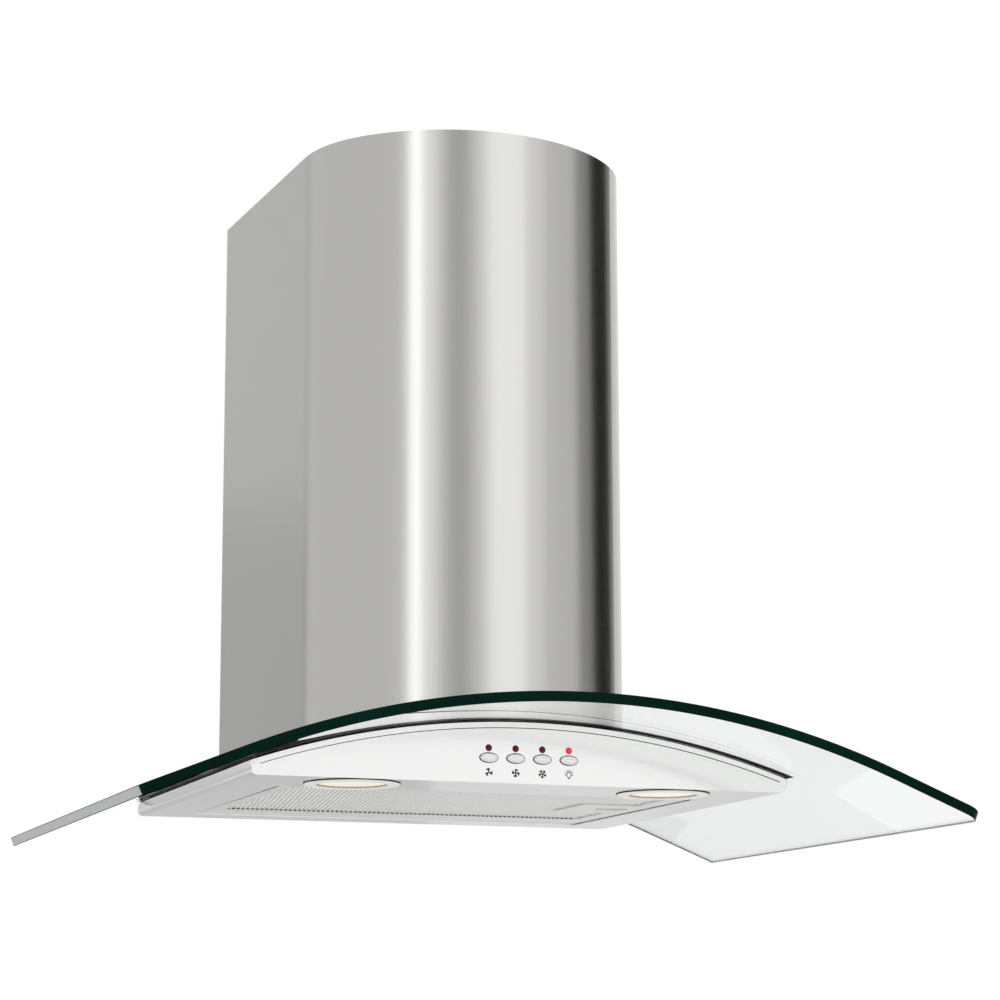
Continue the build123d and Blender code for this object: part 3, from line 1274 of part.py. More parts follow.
for name, piece in build().items():
    save(name, piece)
print("origin above body bottom", WALL_SCREWS_HEIGHT, "glass top", GLASS_TOP, "chimney top", CHIMNEY_TOP)
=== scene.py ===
# %% [markdown]
# # A curved glass range hood, dressed for its picture
# The hood was already built as a CAD model: every sheet, screw and switch is there with its true
# size. This lesson gives it the look of the real thing in Blender. The CAD model is loaded first as
# a fixed frame in metres, with the front towards -Y and the wall at y = 0, and every piece made
# here is put where that frame says.

# %% Load the hood
import json
import math

import bmesh
import bpy
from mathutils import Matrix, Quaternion, Vector


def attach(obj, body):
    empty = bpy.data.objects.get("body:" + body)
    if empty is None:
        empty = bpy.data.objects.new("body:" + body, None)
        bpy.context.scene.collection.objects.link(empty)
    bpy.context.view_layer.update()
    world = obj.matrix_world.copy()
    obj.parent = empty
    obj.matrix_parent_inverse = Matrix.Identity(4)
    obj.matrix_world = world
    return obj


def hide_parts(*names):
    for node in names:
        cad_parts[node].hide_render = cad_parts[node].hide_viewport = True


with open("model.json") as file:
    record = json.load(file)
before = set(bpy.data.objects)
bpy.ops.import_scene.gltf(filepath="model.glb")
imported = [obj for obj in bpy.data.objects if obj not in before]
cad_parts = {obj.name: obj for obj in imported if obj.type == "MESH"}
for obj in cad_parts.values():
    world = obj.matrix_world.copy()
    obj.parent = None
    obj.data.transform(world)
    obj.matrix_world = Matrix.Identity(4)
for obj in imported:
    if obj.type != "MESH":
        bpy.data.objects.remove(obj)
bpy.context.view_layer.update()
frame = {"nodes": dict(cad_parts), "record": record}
slots = {piece["node"]: piece["material_slot"] for piece in frame["record"]["subparts"]}
scene = bpy.context.scene
print("pieces", len(frame["nodes"]), "finishes", len(set(slots.values())))

# %% [markdown]
# ## The camera
# The picture is taken from the left and from below, as the hood is seen by someone standing in the
# kitchen. A long lens was used, so lines that run back hardly draw together. A camera in Blender
# looks along its own -Z, so the way it looks is worked out first from two angles: how far it is
# turned and how far it looks up. The lens is also shifted up a little. The camera then has to look
# up less, and the chimney's sides stay nearly upright.

# %% Set up the camera
turned, looking_up, leaning = (math.radians(angle) for angle in (20.71, 10.14, -0.17))
look = Vector((math.sin(turned) * math.cos(looking_up), math.cos(turned) * math.cos(looking_up),
               math.sin(looking_up)))
lens_data = bpy.data.cameras.new("studio_camera")
lens_data.sensor_width = 36
lens_data.lens = 94.42
lens_data.shift_y = 0.08
camera = bpy.data.objects.new("studio_camera", lens_data)
camera.location = (-0.6635, -2.0347, -0.3617)
camera.rotation_mode = "QUATERNION"
camera.rotation_quaternion = look.to_track_quat("-Z", "Y") @ Quaternion((0, 0, 1), leaning)
scene.collection.objects.link(camera)
scene.camera = camera
print("camera is", round(camera.location.length, 2), "m from the wall screws")

# %% [markdown]
# ## The studio
# Polished steel has hardly any colour of its own: it shows what stands around it. A product
# photographer puts the hood in an even white room, adds soft lamps where the steel should flash,
# and stands boards where it should turn grey or black. Here the room is a plain white world with a
# pale floor far below the hood, which hangs on a wall that isn't built.

# %% White room and pale floor
scene.view_settings.view_transform = "Standard"
room = bpy.data.worlds.new("white_room")
room.use_nodes = True
background = room.node_tree.nodes["Background"]
background.inputs["Color"].default_value = (1, 1, 1, 1)
background.inputs["Strength"].default_value = 1.0
scene.world = room

FLOOR_DEPTH = 2.6
FLOOR_HALF = 37.0


def flat_board(name, corners):
    """A flat board through four corners."""
    data = bpy.data.meshes.new(name)
    data.from_pydata(corners, [], [(0, 1, 2, 3)])
    board = bpy.data.objects.new(name, data)
    scene.collection.objects.link(board)
    return board


def plain_paint(name, colour, rough, gloss):
    """Paint of one colour, for the things of the studio."""
    paint = bpy.data.materials.new(name)
    paint.use_nodes = True
    shader = paint.node_tree.nodes["Principled BSDF"]
    shader.inputs["Base Color"].default_value = (*colour, 1)
    shader.inputs["Roughness"].default_value = rough
    shader.inputs["Specular IOR Level"].default_value = gloss
    return paint


ends = [(-1, -1), (1, -1), (1, 1), (-1, 1)]
floor = flat_board("pale_floor", [(x * FLOOR_HALF, y * FLOOR_HALF, -FLOOR_DEPTH) for x, y in ends])
floor.data.materials.append(plain_paint("pale_floor_paint", (0.87, 0.87, 0.865), 0.7, 0.5))
print("floor is", FLOOR_DEPTH, "m below the wall screws")

# %% [markdown]
# Lamps and boards stand on two rings around the chimney. What the chimney shows at a place depends
# mostly on the way that place faces, so each lamp or board is set by its direction in degrees: 0 is
# straight in front of the hood, and minus is to its left, as seen from the front. The lamps are
# soft boxes. The boards are card, from black to nearly white, that the camera itself can't see.
# Those in front and to the right give the chimney its darker bands. The flank boards behind the
# hood tone the chimney's flat left side, and the low boards behind it tone the underside of the
# body. The soft boxes are there for the chimney's bands alone, so light linking keeps them off the
# rest, which the white room lights evenly.

# %% Soft boxes and boards
CHIMNEY_MIDDLE = Vector((0, -0.15, 0.1))
LAMP_RING, BOARD_RING = 3.0, 3.2


def stand_at(direction, distance, height):
    """A place around the chimney, with its height counted from the chimney's middle."""
    angle = math.radians(direction)
    across, ahead = math.sin(angle) * distance, -math.cos(angle) * distance
    return CHIMNEY_MIDDLE + Vector((across, ahead, height))


def soft_box(name, direction, width, tall, height, power):
    """A soft lamp that faces the chimney."""
    data = bpy.data.lights.new(name, "AREA")
    data.shape = "RECTANGLE"
    data.size, data.size_y, data.energy = width, tall, power
    lamp = bpy.data.objects.new(name, data)
    lamp.location = stand_at(direction, LAMP_RING, height)
    lamp.rotation_mode = "QUATERNION"
    lamp.rotation_quaternion = (CHIMNEY_MIDDLE - lamp.location).to_track_quat("-Z", "Y")
    scene.collection.objects.link(lamp)
    return lamp


def stand_board(name, first, last, shade, low=-0.5, high=2.6):
    """Card that stands between two directions, hidden from the camera."""
    corners = [stand_at(direction, BOARD_RING, height)
               for direction, height in ((first, low), (last, low), (last, high), (first, high))]
    board = flat_board(name, corners)
    board.data.materials.append(plain_paint(name + "_card", (shade, shade, shade), 1.0, 0.0))
    board.visible_camera = False
    return board


soft_box("strip_soft_box", -39, 0.42, 3.0, 0.9, 5.7)
soft_box("side_soft_box", -32, 0.85, 3.0, 0.9, 3.9)
soft_box("wide_soft_box", 23, 2.5, 3.0, 0.9, 7.5)
soft_box("inner_soft_box", 19, 1.3, 3.0, 0.9, 6.2)
stand_board("grey_board", -18, -6, 0.8)
stand_board("shaded_board", 72, 88, 0.5)
stand_board("black_board", 86, 112, 0.004)
stand_board("flank_board", -178, -140, 0.77, high=0.55)
stand_board("high_flank_board", -178, -140, 0.93, low=0.55)
stand_board("low_right_board", 120, 161, 0.78, low=-1.65, high=-0.45)
stand_board("low_left_board", 161, 198, 0.6, low=-1.65, high=-0.45)

chimney_only = bpy.data.collections.new("lit_by_the_soft_boxes")
for name, slot in slots.items():
    if slot == "chimney_steel":
        chimney_only.objects.link(frame["nodes"][name])
for lamp in [thing for thing in scene.objects if thing.type == "LIGHT"]:
    lamp.light_linking.receiver_collection = chimney_only

# %% [markdown]
# ## Finishes
# Each finish is a small tree of nodes. The shader's own sockets hold the plain numbers: how
# metallic the piece is, how rough, which colour. A texture in the piece's own metres then varies
# the colour, the roughness and the height a little, because no real sheet is the same all over. Six
# helpers are enough: one starts a finish, one lays a texture, one turns its grey into a range of
# numbers, one blends two shades by it, one presses it into the surface, and one makes a finished
# surface more or less glossy.

# %% Helpers for finishes
finishes = {}
NOISE = "ShaderNodeTexNoise"
GREY_LOW, GREY_HIGH = 0.25, 0.75      # greys at which a varied number reaches its two ends


def start_finish(slot, name, colour, metal=0.0, rough=0.5, **sockets):
    """A finish for one slot of the hood, with its shader's plain numbers set."""
    finish = bpy.data.materials.new(name)
    finish.use_nodes = True
    shader = finish.node_tree.nodes["Principled BSDF"]
    shader.inputs["Base Color"].default_value = (*colour, 1)
    shader.inputs["Metallic"].default_value = metal
    shader.inputs["Roughness"].default_value = rough
    for socket, value in sockets.items():
        shader.inputs[socket.replace("_", " ")].default_value = value
    finishes[slot] = finish
    return finish, shader


def lay_texture(finish, kind, per_metre, **values):
    """A texture over the piece, with its own count per metre along X, Y and Z."""
    nodes, links = finish.node_tree.nodes, finish.node_tree.links
    place = nodes.new("ShaderNodeTexCoord")
    count = nodes.new("ShaderNodeMapping")
    count.inputs["Scale"].default_value = per_metre
    texture = nodes.new(kind)
    for socket, value in values.items():
        texture.inputs[socket].default_value = value
    links.new(place.outputs["Object"], count.inputs["Vector"])
    links.new(count.outputs["Vector"], texture.inputs["Vector"])
    return texture.outputs["Color"]


def vary(finish, grey, socket, low, high):
    """Drives a number of the shader from low to high by a texture's grey."""
    spread = finish.node_tree.nodes.new("ShaderNodeMapRange")
    spread.inputs["From Min"].default_value = GREY_LOW
    spread.inputs["From Max"].default_value = GREY_HIGH
    spread.inputs["To Min"].default_value = low
    spread.inputs["To Max"].default_value = high
    finish.node_tree.links.new(grey, spread.inputs["Value"])
    finish.node_tree.links.new(spread.outputs["Result"], socket)


def tint(finish, grey, shader, dark, light):
    """Blends the colour between two shades by a texture's grey."""
    blend = finish.node_tree.nodes.new("ShaderNodeMix")
    blend.data_type = "RGBA"
    blend.inputs["A"].default_value = (*dark, 1)
    blend.inputs["B"].default_value = (*light, 1)
    links = finish.node_tree.links
    links.new(grey, blend.inputs["Factor"])
    links.new(blend.outputs["Result"], shader.inputs["Base Color"])


def press(finish, grey, shader, depth):
    """Presses a texture into the surface, depth in metres."""
    bump = finish.node_tree.nodes.new("ShaderNodeBump")
    bump.inputs["Distance"].default_value = depth
    finish.node_tree.links.new(grey, bump.inputs["Height"])
    finish.node_tree.links.new(bump.outputs["Normal"], shader.inputs["Normal"])


def set_gloss(slot, gloss):
    """Sets how much a finish that isn't metal mirrors."""
    shader = finishes[slot].node_tree.nodes["Principled BSDF"]
    shader.inputs["Specular IOR Level"].default_value = gloss


print("finish helpers are ready")

# %% [markdown]
# ### Brushed steel
# The chimney and the body are stainless sheet. A rolling brush leaves thousands of fine scratches
# that all run one way, upright on the chimney and along the width on the body. A noise texture
# becomes such scratches when it is stretched: hundreds of grains per metre across the brushing and
# only a few along it. The body is brighter and smoother than the chimney.

# %% Chimney and body steel
steel, shader = start_finish("chimney_steel", "upright_brushed_steel",
                             (0.44, 0.437, 0.42), 1.0, 0.2)
scratches = lay_texture(steel, NOISE, (900, 900, 5), Scale=1.0, Detail=3.0, Roughness=0.7)
vary(steel, scratches, shader.inputs["Roughness"], 0.17, 0.24)
press(steel, scratches, shader, 0.000004)

bright, shader = start_finish("body_steel", "satin_body_steel", (0.9, 0.9, 0.895), 1.0, 0.15)
scratches = lay_texture(bright, NOISE, (6, 700, 900), Scale=1.0, Detail=3.0, Roughness=0.7)
vary(bright, scratches, shader.inputs["Roughness"], 0.13, 0.17)
press(bright, scratches, shader, 0.0000012)
print("steels:", steel.name, bright.name)

# %% [markdown]
# ### Zinc, pressed sheet and machined metal
# The parts inside are never polished. Galvanised sheet shows its zinc crystals as flat patches,
# each a little lighter or darker than its neighbour, and a Voronoi texture has just such cells.
# Screws are zinc plated, the shaft is ground bright, the bearings are porous bronze, and the
# motor's end shields are cast, with a fine rough skin.

# %% Metals inside the hood
zinc, shader = start_finish("galvanised", "galvanised_sheet", (0.5, 0.52, 0.54), 0.9, 0.42)
crystals = lay_texture(zinc, "ShaderNodeTexVoronoi", (90, 90, 90), Scale=1.0)
tint(zinc, crystals, shader, (0.56, 0.58, 0.6), (0.38, 0.4, 0.42))
vary(zinc, crystals, shader.inputs["Roughness"], 0.34, 0.5)

# Each row: slot, name, light and dark shade, roughness, grains per metre, depth of the grain.
METALS = (
    ("screw_steel", "zinc_plated_screws",
     (0.68, 0.68, 0.66), (0.5, 0.5, 0.5), 0.3, 700, 0.00001),
    ("shaft_steel", "ground_shaft",
     (0.6, 0.6, 0.6), (0.46, 0.46, 0.47), 0.2, 1200, 0.000004),
    ("impeller_metal", "pressed_impeller_sheet",
     (0.62, 0.63, 0.65), (0.46, 0.47, 0.49), 0.36, 240, 0.00001),
    ("bearing_bronze", "porous_bronze",
     (0.6, 0.4, 0.17), (0.38, 0.24, 0.1), 0.42, 1500, 0.00002),
    ("motor_metal", "cast_motor_shield",
     (0.5, 0.51, 0.52), (0.36, 0.37, 0.38), 0.5, 500, 0.00004),
)
for slot, name, light, dark, rough, grains, depth in METALS:
    metal, shader = start_finish(slot, name, light, 0.95, rough)
    skin = lay_texture(metal, NOISE, (grains, grains, grains), Scale=1.0, Detail=4.0)
    tint(metal, skin, shader, dark, light)
    vary(metal, skin, shader.inputs["Roughness"], 0.8 * rough, 1.25 * rough)
    press(metal, skin, shader, depth)
print("metals:", len(finishes))

# %% [markdown]
# ### Filter aluminium
# The filter's frame is rolled aluminium with a satin skin. The mesh is the same metal in thin foil,
# cut and stretched, so it is duller. The dark look of the mesh comes from its real holes, not from
# its colour.

# %% Aluminium of the filter
# Each row: slot, name, light and dark shade, roughness.
ALUMINIUM = (
    ("filter_aluminium", "rolled_filter_frame",
     (0.88, 0.88, 0.87), (0.8, 0.8, 0.79), 0.3),
    ("mesh_aluminium", "stretched_filter_foil",
     (1.0, 1.0, 0.99), (0.93, 0.93, 0.92), 0.36),
)
for slot, name, light, dark, rough in ALUMINIUM:
    foil, shader = start_finish(slot, name, light, 1.0, rough)
    skin = lay_texture(foil, NOISE, (30, 400, 400), Scale=1.0, Detail=3.0)
    tint(foil, skin, shader, dark, light)
    vary(foil, skin, shader.inputs["Roughness"], 0.8 * rough, 1.3 * rough)
    press(foil, skin, shader, 0.000008)
print("aluminium finishes:", ", ".join(finishes[row[0]].name for row in ALUMINIUM))

# %% [markdown]
# ### Plastics and rubber
# Moulded plastic takes the fine sandblasted grain of its mould, and rubber is duller and softer to
# the light. They differ in colour, in roughness and in how coarse the grain is, so one loop makes
# them all from a list.

# %% Moulded plastics, rubber and board
# Each row: slot, name, light and dark shade, roughness, grains per metre, depth of the grain.
PLASTICS = (
    # The black of this rubber is also the paint of the painted-shade pieces further down.
    ("seal_rubber", "black_seal_rubber",
     (0.006, 0.006, 0.006), (0.003, 0.003, 0.003), 0.6, 900, 0.00003),
    ("blower_plastic", "dark_blower_moulding",
     (0.075, 0.076, 0.08), (0.05, 0.05, 0.054), 0.5, 700, 0.00004),
    ("outlet_plastic", "black_outlet_moulding",
     (0.03, 0.03, 0.031), (0.018, 0.018, 0.018), 0.45, 700, 0.00004),
    ("control_plastic", "black_control_moulding",
     (0.035, 0.035, 0.036), (0.02, 0.02, 0.02), 0.42, 900, 0.00003),
    ("capacitor_can", "white_capacitor_can",
     (0.78, 0.78, 0.75), (0.7, 0.7, 0.67), 0.35, 400, 0.00001),
    ("terminal_plastic", "grey_terminal_moulding",
     (0.42, 0.43, 0.44), (0.34, 0.35, 0.36), 0.45, 700, 0.00003),
    ("lamp_holder", "heatproof_lamp_moulding",
     (0.8, 0.79, 0.75), (0.7, 0.69, 0.65), 0.5, 600, 0.00003),
    ("lamp_ring", "cream_lamp_ring",
     (0.95, 0.94, 0.89), (0.9, 0.89, 0.84), 0.32, 500, 0.00001),
    ("latch_plastic", "pale_latch_moulding",
     (0.85, 0.85, 0.83), (0.78, 0.78, 0.76), 0.4, 700, 0.00002),
    ("board_green", "coated_circuit_board",
     (0.03, 0.2, 0.08), (0.015, 0.12, 0.05), 0.25, 300, 0.00001),
)
for slot, name, light, dark, rough, grains, depth in PLASTICS:
    plastic, shader = start_finish(slot, name, light, 0.0, rough)
    skin = lay_texture(plastic, NOISE, (grains, grains, grains), Scale=1.0, Detail=3.0)
    tint(plastic, skin, shader, dark, light)
    vary(plastic, skin, shader.inputs["Roughness"], 0.85 * rough, 1.2 * rough)
    press(plastic, skin, shader, depth)
set_gloss("seal_rubber", 0.15)
print("finishes so far:", len(finishes))

# %% [markdown]
# ### Glass, lenses and lights
# Clear glass bends the light that goes through it and mirrors a little of the room. Its faces are
# nearly invisible, but its front edge is dark green, because light that reaches the edge has run a
# long way through the sheet. The narrow ground corners of that edge are near black, which is
# painted shade. The edges at the two sides are ground all over, which turns them pale grey. The
# lamp lenses are frosted and glow, and so does the one indicator light that is on.

# %% Glass and glowing pieces
clear, shader = start_finish("canopy_glass", "clear_canopy_glass", (0.97, 0.99, 0.98), 0.0, 0.0,
                             Transmission_Weight=1.0, IOR=1.5)
smears = lay_texture(clear, NOISE, (9, 9, 9), Scale=1.0, Detail=2.0)
vary(clear, smears, shader.inputs["Roughness"], 0.0, 0.004)

edge, shader = start_finish("glass_edge", "dark_green_glass_edge", (0.001, 0.01, 0.007), 0.0, 0.1,
                            IOR=1.3, Specular_IOR_Level=0.06)
depths = lay_texture(edge, NOISE, (7, 7, 40), Scale=1.0, Detail=1.0)
tint(edge, depths, shader, (0.0004, 0.001, 0.0008), (0.001, 0.03, 0.019))

# The narrow ground corners get a near-black colour that is painted shade; ground glass itself is
# pale.
ground, shader = start_finish("ground_edge", "glass_corner_painted_shade", (0.0008, 0.002, 0.0015),
                              0.0, 0.3, IOR=1.3, Specular_IOR_Level=0.05)
corner_shade_noise = lay_texture(ground, NOISE, (400, 400, 400), Scale=1.0, Detail=2.0)
tint(ground, corner_shade_noise, shader, (0.0004, 0.001, 0.0008), (0.001, 0.004, 0.003))

side_glass, shader = start_finish("side_edge", "pale_ground_glass_side", (0.43, 0.46, 0.445),
                                  0.0, 0.3, IOR=1.4, Specular_IOR_Level=0.2)
cloud = lay_texture(side_glass, NOISE, (60, 14, 60), Scale=1.0, Detail=3.0)
tint(side_glass, cloud, shader, (0.38, 0.42, 0.4), (0.47, 0.5, 0.485))
scuffs = lay_texture(side_glass, NOISE, (900, 900, 900), Scale=1.0, Detail=2.0)
press(side_glass, scuffs, shader, 0.000004)

# Each row: slot, name, light and dark shade, roughness, colour and strength of the glow.
LENSES_AND_LIGHTS = (
    ("lamp_lens", "frosted_warm_lens",
     (0.95, 0.92, 0.82), (0.9, 0.84, 0.7), 0.3, (1.0, 0.92, 0.78), 0.2),
    ("bulb_glass", "warm_bulb_glass",
     (1.0, 0.93, 0.78), (0.95, 0.86, 0.66), 0.15, (1.0, 0.85, 0.6), 1.2),
    ("light_red", "dark_red_light",
     (0.22, 0.005, 0.01), (0.12, 0.003, 0.006), 0.1, (0, 0, 0), 0.0),
    ("light_lit", "glowing_red_light",
     (0.75, 0.02, 0.05), (0.6, 0.012, 0.035), 0.16, (1.0, 0.05, 0.11), 0.34),
)
for slot, name, light, dark, rough, glow, strength in LENSES_AND_LIGHTS:
    glass, shader = start_finish(slot, name, light, 0.0, rough, Emission_Strength=strength)
    shader.inputs["Emission Color"].default_value = (*glow, 1)
    frost = lay_texture(glass, NOISE, (260, 260, 260), Scale=1.0, Detail=2.0)
    tint(glass, frost, shader, dark, light)
    press(glass, frost, shader, 0.00001)
set_gloss("light_red", 0.2)
print("glass finishes:", clear.name, edge.name)

# %% [markdown]
# ### Chrome and printing ink
# The push buttons are plated plastic: a true mirror with the slightest haze. The signs under them
# are printed in black ink.

# %% Chrome and ink
chrome, shader = start_finish("button_chrome", "plated_button_chrome",
                              (0.82, 0.825, 0.83), 1.0, 0.07)
haze = lay_texture(chrome, NOISE, (400, 400, 400), Scale=1.0, Detail=2.0)
vary(chrome, haze, shader.inputs["Roughness"], 0.05, 0.1)

ink, shader = start_finish("sign_ink", "black_sign_ink", (0.012, 0.012, 0.012), 0.0, 0.4)
coat = lay_texture(ink, NOISE, (2500, 2500, 2500), Scale=1.0, Detail=2.0)
tint(ink, coat, shader, (0.008, 0.008, 0.008), (0.02, 0.02, 0.02))
print("finishes in all:", len(finishes))

# %% [markdown]
# ## Finish the CAD pieces
# The record that came with the hood says which finish each piece takes. A piece keeps its own shape
# and only gets the new material.

# %% Put the finishes on
for name, piece in frame["nodes"].items():
    for place in piece.material_slots:
        place.material = finishes[slots[name]]
print("finished", len(frame["nodes"]), "CAD pieces")

# %% [markdown]
# ## The bent glass
# The canopy is one sheet of toughened glass, bent to a long arc with straight wings at both ends. A
# notch in its back edge lets the motor box through, and its front corners are rounded. It is made
# as it is in the factory: the flat outline is cut first, and then the sheet is bent. In Blender the
# outline is filled, sliced into narrow strips so that it can bend, and each point is lifted to the
# arc. A second copy of every point, one thickness deeper, makes the underside, and the rim between
# them is the edge.

# %% Outline of the glass
GLASS_HALF, GLASS_FRONT, GLASS_BACK, GLASS_THICK = 0.300, -0.442, -0.002, 0.007
ARC_HALF, ARC_RADIUS, ARC_CENTRE = 0.2335, 0.631, -0.7596
FRONT_CORNER, NOTCH_CORNER, NOTCH_HALF, NOTCH_FRONT = 0.012, 0.010, 0.102, -0.219
SCREW_HOLE, HOLE_POINTS = 0.005, 24
SCREW_SPOTS = [(x, y) for x in (-0.110, 0.110) for y in (-0.060, -0.185)]


def turn(x, y, radius, start, end, steps=8):
    """Points on an arc from one angle to another, in degrees."""
    angles = [math.radians(start + (end - start) * i / steps) for i in range(steps + 1)]
    return [(x + radius * math.cos(a), y + radius * math.sin(a)) for a in angles]


corner_x, corner_y = GLASS_HALF - FRONT_CORNER, GLASS_FRONT + FRONT_CORNER
notch_x, notch_y = NOTCH_HALF - NOTCH_CORNER, NOTCH_FRONT + NOTCH_CORNER
outline = [(-GLASS_HALF, GLASS_BACK)] + turn(-corner_x, corner_y, FRONT_CORNER, 180, 270)
outline += turn(corner_x, corner_y, FRONT_CORNER, 270, 360) + [(GLASS_HALF, GLASS_BACK)]
outline += [(NOTCH_HALF, GLASS_BACK)] + turn(notch_x, notch_y, NOTCH_CORNER, 0, -90)
outline += turn(-notch_x, notch_y, NOTCH_CORNER, 270, 180) + [(-NOTCH_HALF, GLASS_BACK)]
last_angle = 360 - 360 / HOLE_POINTS
holes = [turn(x, y, SCREW_HOLE, 0, last_angle, HOLE_POINTS - 1) for x, y in SCREW_SPOTS]
print("outline of the glass has", len(outline), "points")

# %% Bend the glass
STRIP_WIDTH = 0.006
CUT_NEAR = 1e-7                       # points this near to a cut lie on it
EDGE_FINISH, GROUND_FINISH, SIDE_FINISH = 1, 2, 3


def bent_glass_point(x, y, deep):
    """Place on the bent sheet, deep metres under its top face."""
    lean = math.asin(min(abs(x), ARC_HALF) / ARC_RADIUS)
    past = max(abs(x) - ARC_HALF, 0)
    top = ARC_CENTRE + ARC_RADIUS * math.cos(lean) - past * math.tan(lean)
    side = math.copysign(1, x)
    return Vector((x - side * deep * math.sin(lean), y, top - deep * math.cos(lean)))


def rim_finish(start, end):
    """Finish of a face of the rim: one that runs mostly along Y is at a side of the glass."""
    run = start - end
    return EDGE_FINISH if 3 * abs(run.x) > abs(run.y) else SIDE_FINISH


def sheet_from_outline(loops, strip, bend, thick):
    """A closed sheet: loops filled flat, cut into strips along X, bent, and given a thickness."""
    flat = bmesh.new()
    for loop in loops:
        corners = [flat.verts.new((x, y, 0)) for x, y in loop]
        for i, corner in enumerate(corners):
            flat.edges.new((corner, corners[i - 1]))
    bmesh.ops.triangle_fill(flat, use_beauty=True, use_dissolve=False, edges=flat.edges[:])
    reach = max(x for x, _ in loops[0])
    count = int(2 * reach / strip)
    for i in range(1, count):
        cut = Vector((-reach + 2 * reach * i / count, 0, 0))
        everything = flat.verts[:] + flat.edges[:] + flat.faces[:]
        bmesh.ops.bisect_plane(flat, geom=everything, dist=CUT_NEAR, plane_co=cut,
                               plane_no=(1, 0, 0))
    bmesh.ops.recalc_face_normals(flat, faces=flat.faces[:])
    flip = flat.faces[:][0].normal.z < 0
    flat.verts.ensure_lookup_table()
    flat.verts.index_update()
    points = [tuple(v.co) for v in flat.verts]
    faces = [[v.index for v in (reversed(f.verts) if flip else f.verts)] for f in flat.faces]
    rim = [(e.verts[0].index, e.verts[1].index) for e in flat.edges if e.is_boundary]
    flat.free()
    total = len(points)
    solid = bmesh.new()
    verts = [solid.verts.new(bend(x, y, 0)) for x, y, _ in points]
    verts += [solid.verts.new(bend(x, y, thick)) for x, y, _ in points]
    for face in faces:
        solid.faces.new([verts[i] for i in face])
        solid.faces.new([verts[i + total] for i in reversed(face)])
    for a, b in rim:
        wall = solid.faces.new((verts[a], verts[b], verts[b + total], verts[a + total]))
        wall.material_index = rim_finish(verts[a].co, verts[b].co)
    bmesh.ops.recalc_face_normals(solid, faces=solid.faces[:])
    return solid


glass_work = sheet_from_outline([outline] + holes, STRIP_WIDTH, bent_glass_point, GLASS_THICK)
print("glass has", len(glass_work.faces), "faces")

# %% [markdown]
# A cut edge of glass is always ground a little at its corners. That narrow slope is bevelled here,
# and it takes its own near-black finish, which is painted shade. Faces that meet at less than 30
# degrees are shaded as one smooth surface.

# %% Grind the edge and finish the glass
GROUND_EDGE, RIM_ANGLE = 0.0005, 80


def finish_piece(work, name, materials, soft_angle=30):
    """Turns finished mesh work into a piece of the scene."""
    data = bpy.data.meshes.new(name)
    work.to_mesh(data)
    work.free()
    data.shade_smooth()
    data.set_sharp_from_angle(angle=math.radians(soft_angle))
    for material in materials:
        data.materials.append(material)
    piece = bpy.data.objects.new(name, data)
    scene.collection.objects.link(piece)
    return piece


rim = [e for e in glass_work.edges
       if len(e.link_faces) == 2 and math.degrees(e.calc_face_angle()) > RIM_ANGLE]
# The bevel faces take the corners' painted-shade finish.
bmesh.ops.bevel(glass_work, geom=rim, offset=GROUND_EDGE, segments=1, affect="EDGES",
                material=GROUND_FINISH)
glass_finishes = [finishes[name]
                  for name in ("canopy_glass", "glass_edge", "ground_edge", "side_edge")]
glass_sheet = finish_piece(glass_work, "bent_glass_sheet", glass_finishes)
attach(glass_sheet, "hood")
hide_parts("glass_canopy")
print("glass is", [round(d, 4) for d in glass_sheet.dimensions], "m")

# %% [markdown]
# ## The filter's mesh
# The grease filter shows a sheet of expanded metal: foil that is slit and pulled until the slits
# open into rows of small slanting holes. From a distance the holes read as diagonal lines. Each
# hole here is a real four-cornered opening with a wall, set in a cell of its own, and each row is
# moved a little against the last. There are no cells in the latch's pocket, cells that the sheet's
# edge cuts have no hole, and those along the frame's back and right side and beside the pocket have
# a wider one. A second sheet like it lies on top of the pleats.

# %% Lay out the mesh
MESH_SHEETS = {"expanded_filter_mesh": ("filter_mesh_lower", -0.17765, -0.17750),
               "upper_filter_mesh": ("filter_mesh_upper", -0.17105, -0.17090)}
MESH_HALF_X, MESH_FRONT, MESH_BACK = 0.1587, -0.2637, -0.0323
HOLE_PITCH_X, HOLE_PITCH_Y, ROW_SHIFT = 0.0034, 0.0032, 0.18
POCKET_X, POCKET_FRONT, POCKET_BACK = 0.1017, -0.1893, -0.1287
WINDOW_X, WINDOW_BACK = 0.146, -0.067

columns = round(2 * MESH_HALF_X / HOLE_PITCH_X)
rows = round((MESH_BACK - MESH_FRONT) / HOLE_PITCH_Y)
print("mesh has", columns, "columns and", rows, "rows")

# %% Punch the mesh
HOLE_SHAPE = [(0.25, -0.24), (0.14, 0.40), (-0.25, 0.24), (-0.14, -0.40)]
WIDE_HOLE = [(0.37, -0.36), (0.37, 0.36), (-0.37, 0.36), (-0.37, -0.36)]
CELL_SHAPE = [(0.5, -0.5), (0.5, 0.5), (-0.5, 0.5), (-0.5, -0.5)]
BESIDE_POCKET = 1.4                   # cells from the pocket that still have a wider hole
TINY, PER_METRE = 1e-6, 1e6           # a micrometre, and how many of them make a metre


def in_pocket(x, y, spare):
    """Whether a place is in the latch's pocket, or within spare of it."""
    return x > POCKET_X - spare and POCKET_FRONT - spare < y < POCKET_BACK + spare


def at_border(x, y, spare):
    """Whether a place is in the last row or column by the frame, or beside the pocket."""
    last_row = 0 < WINDOW_BACK - y < spare and x < WINDOW_X
    last_column = 0 < WINDOW_X - x < spare and y < WINDOW_BACK
    return last_row or last_column or in_pocket(x, y, BESIDE_POCKET * spare)


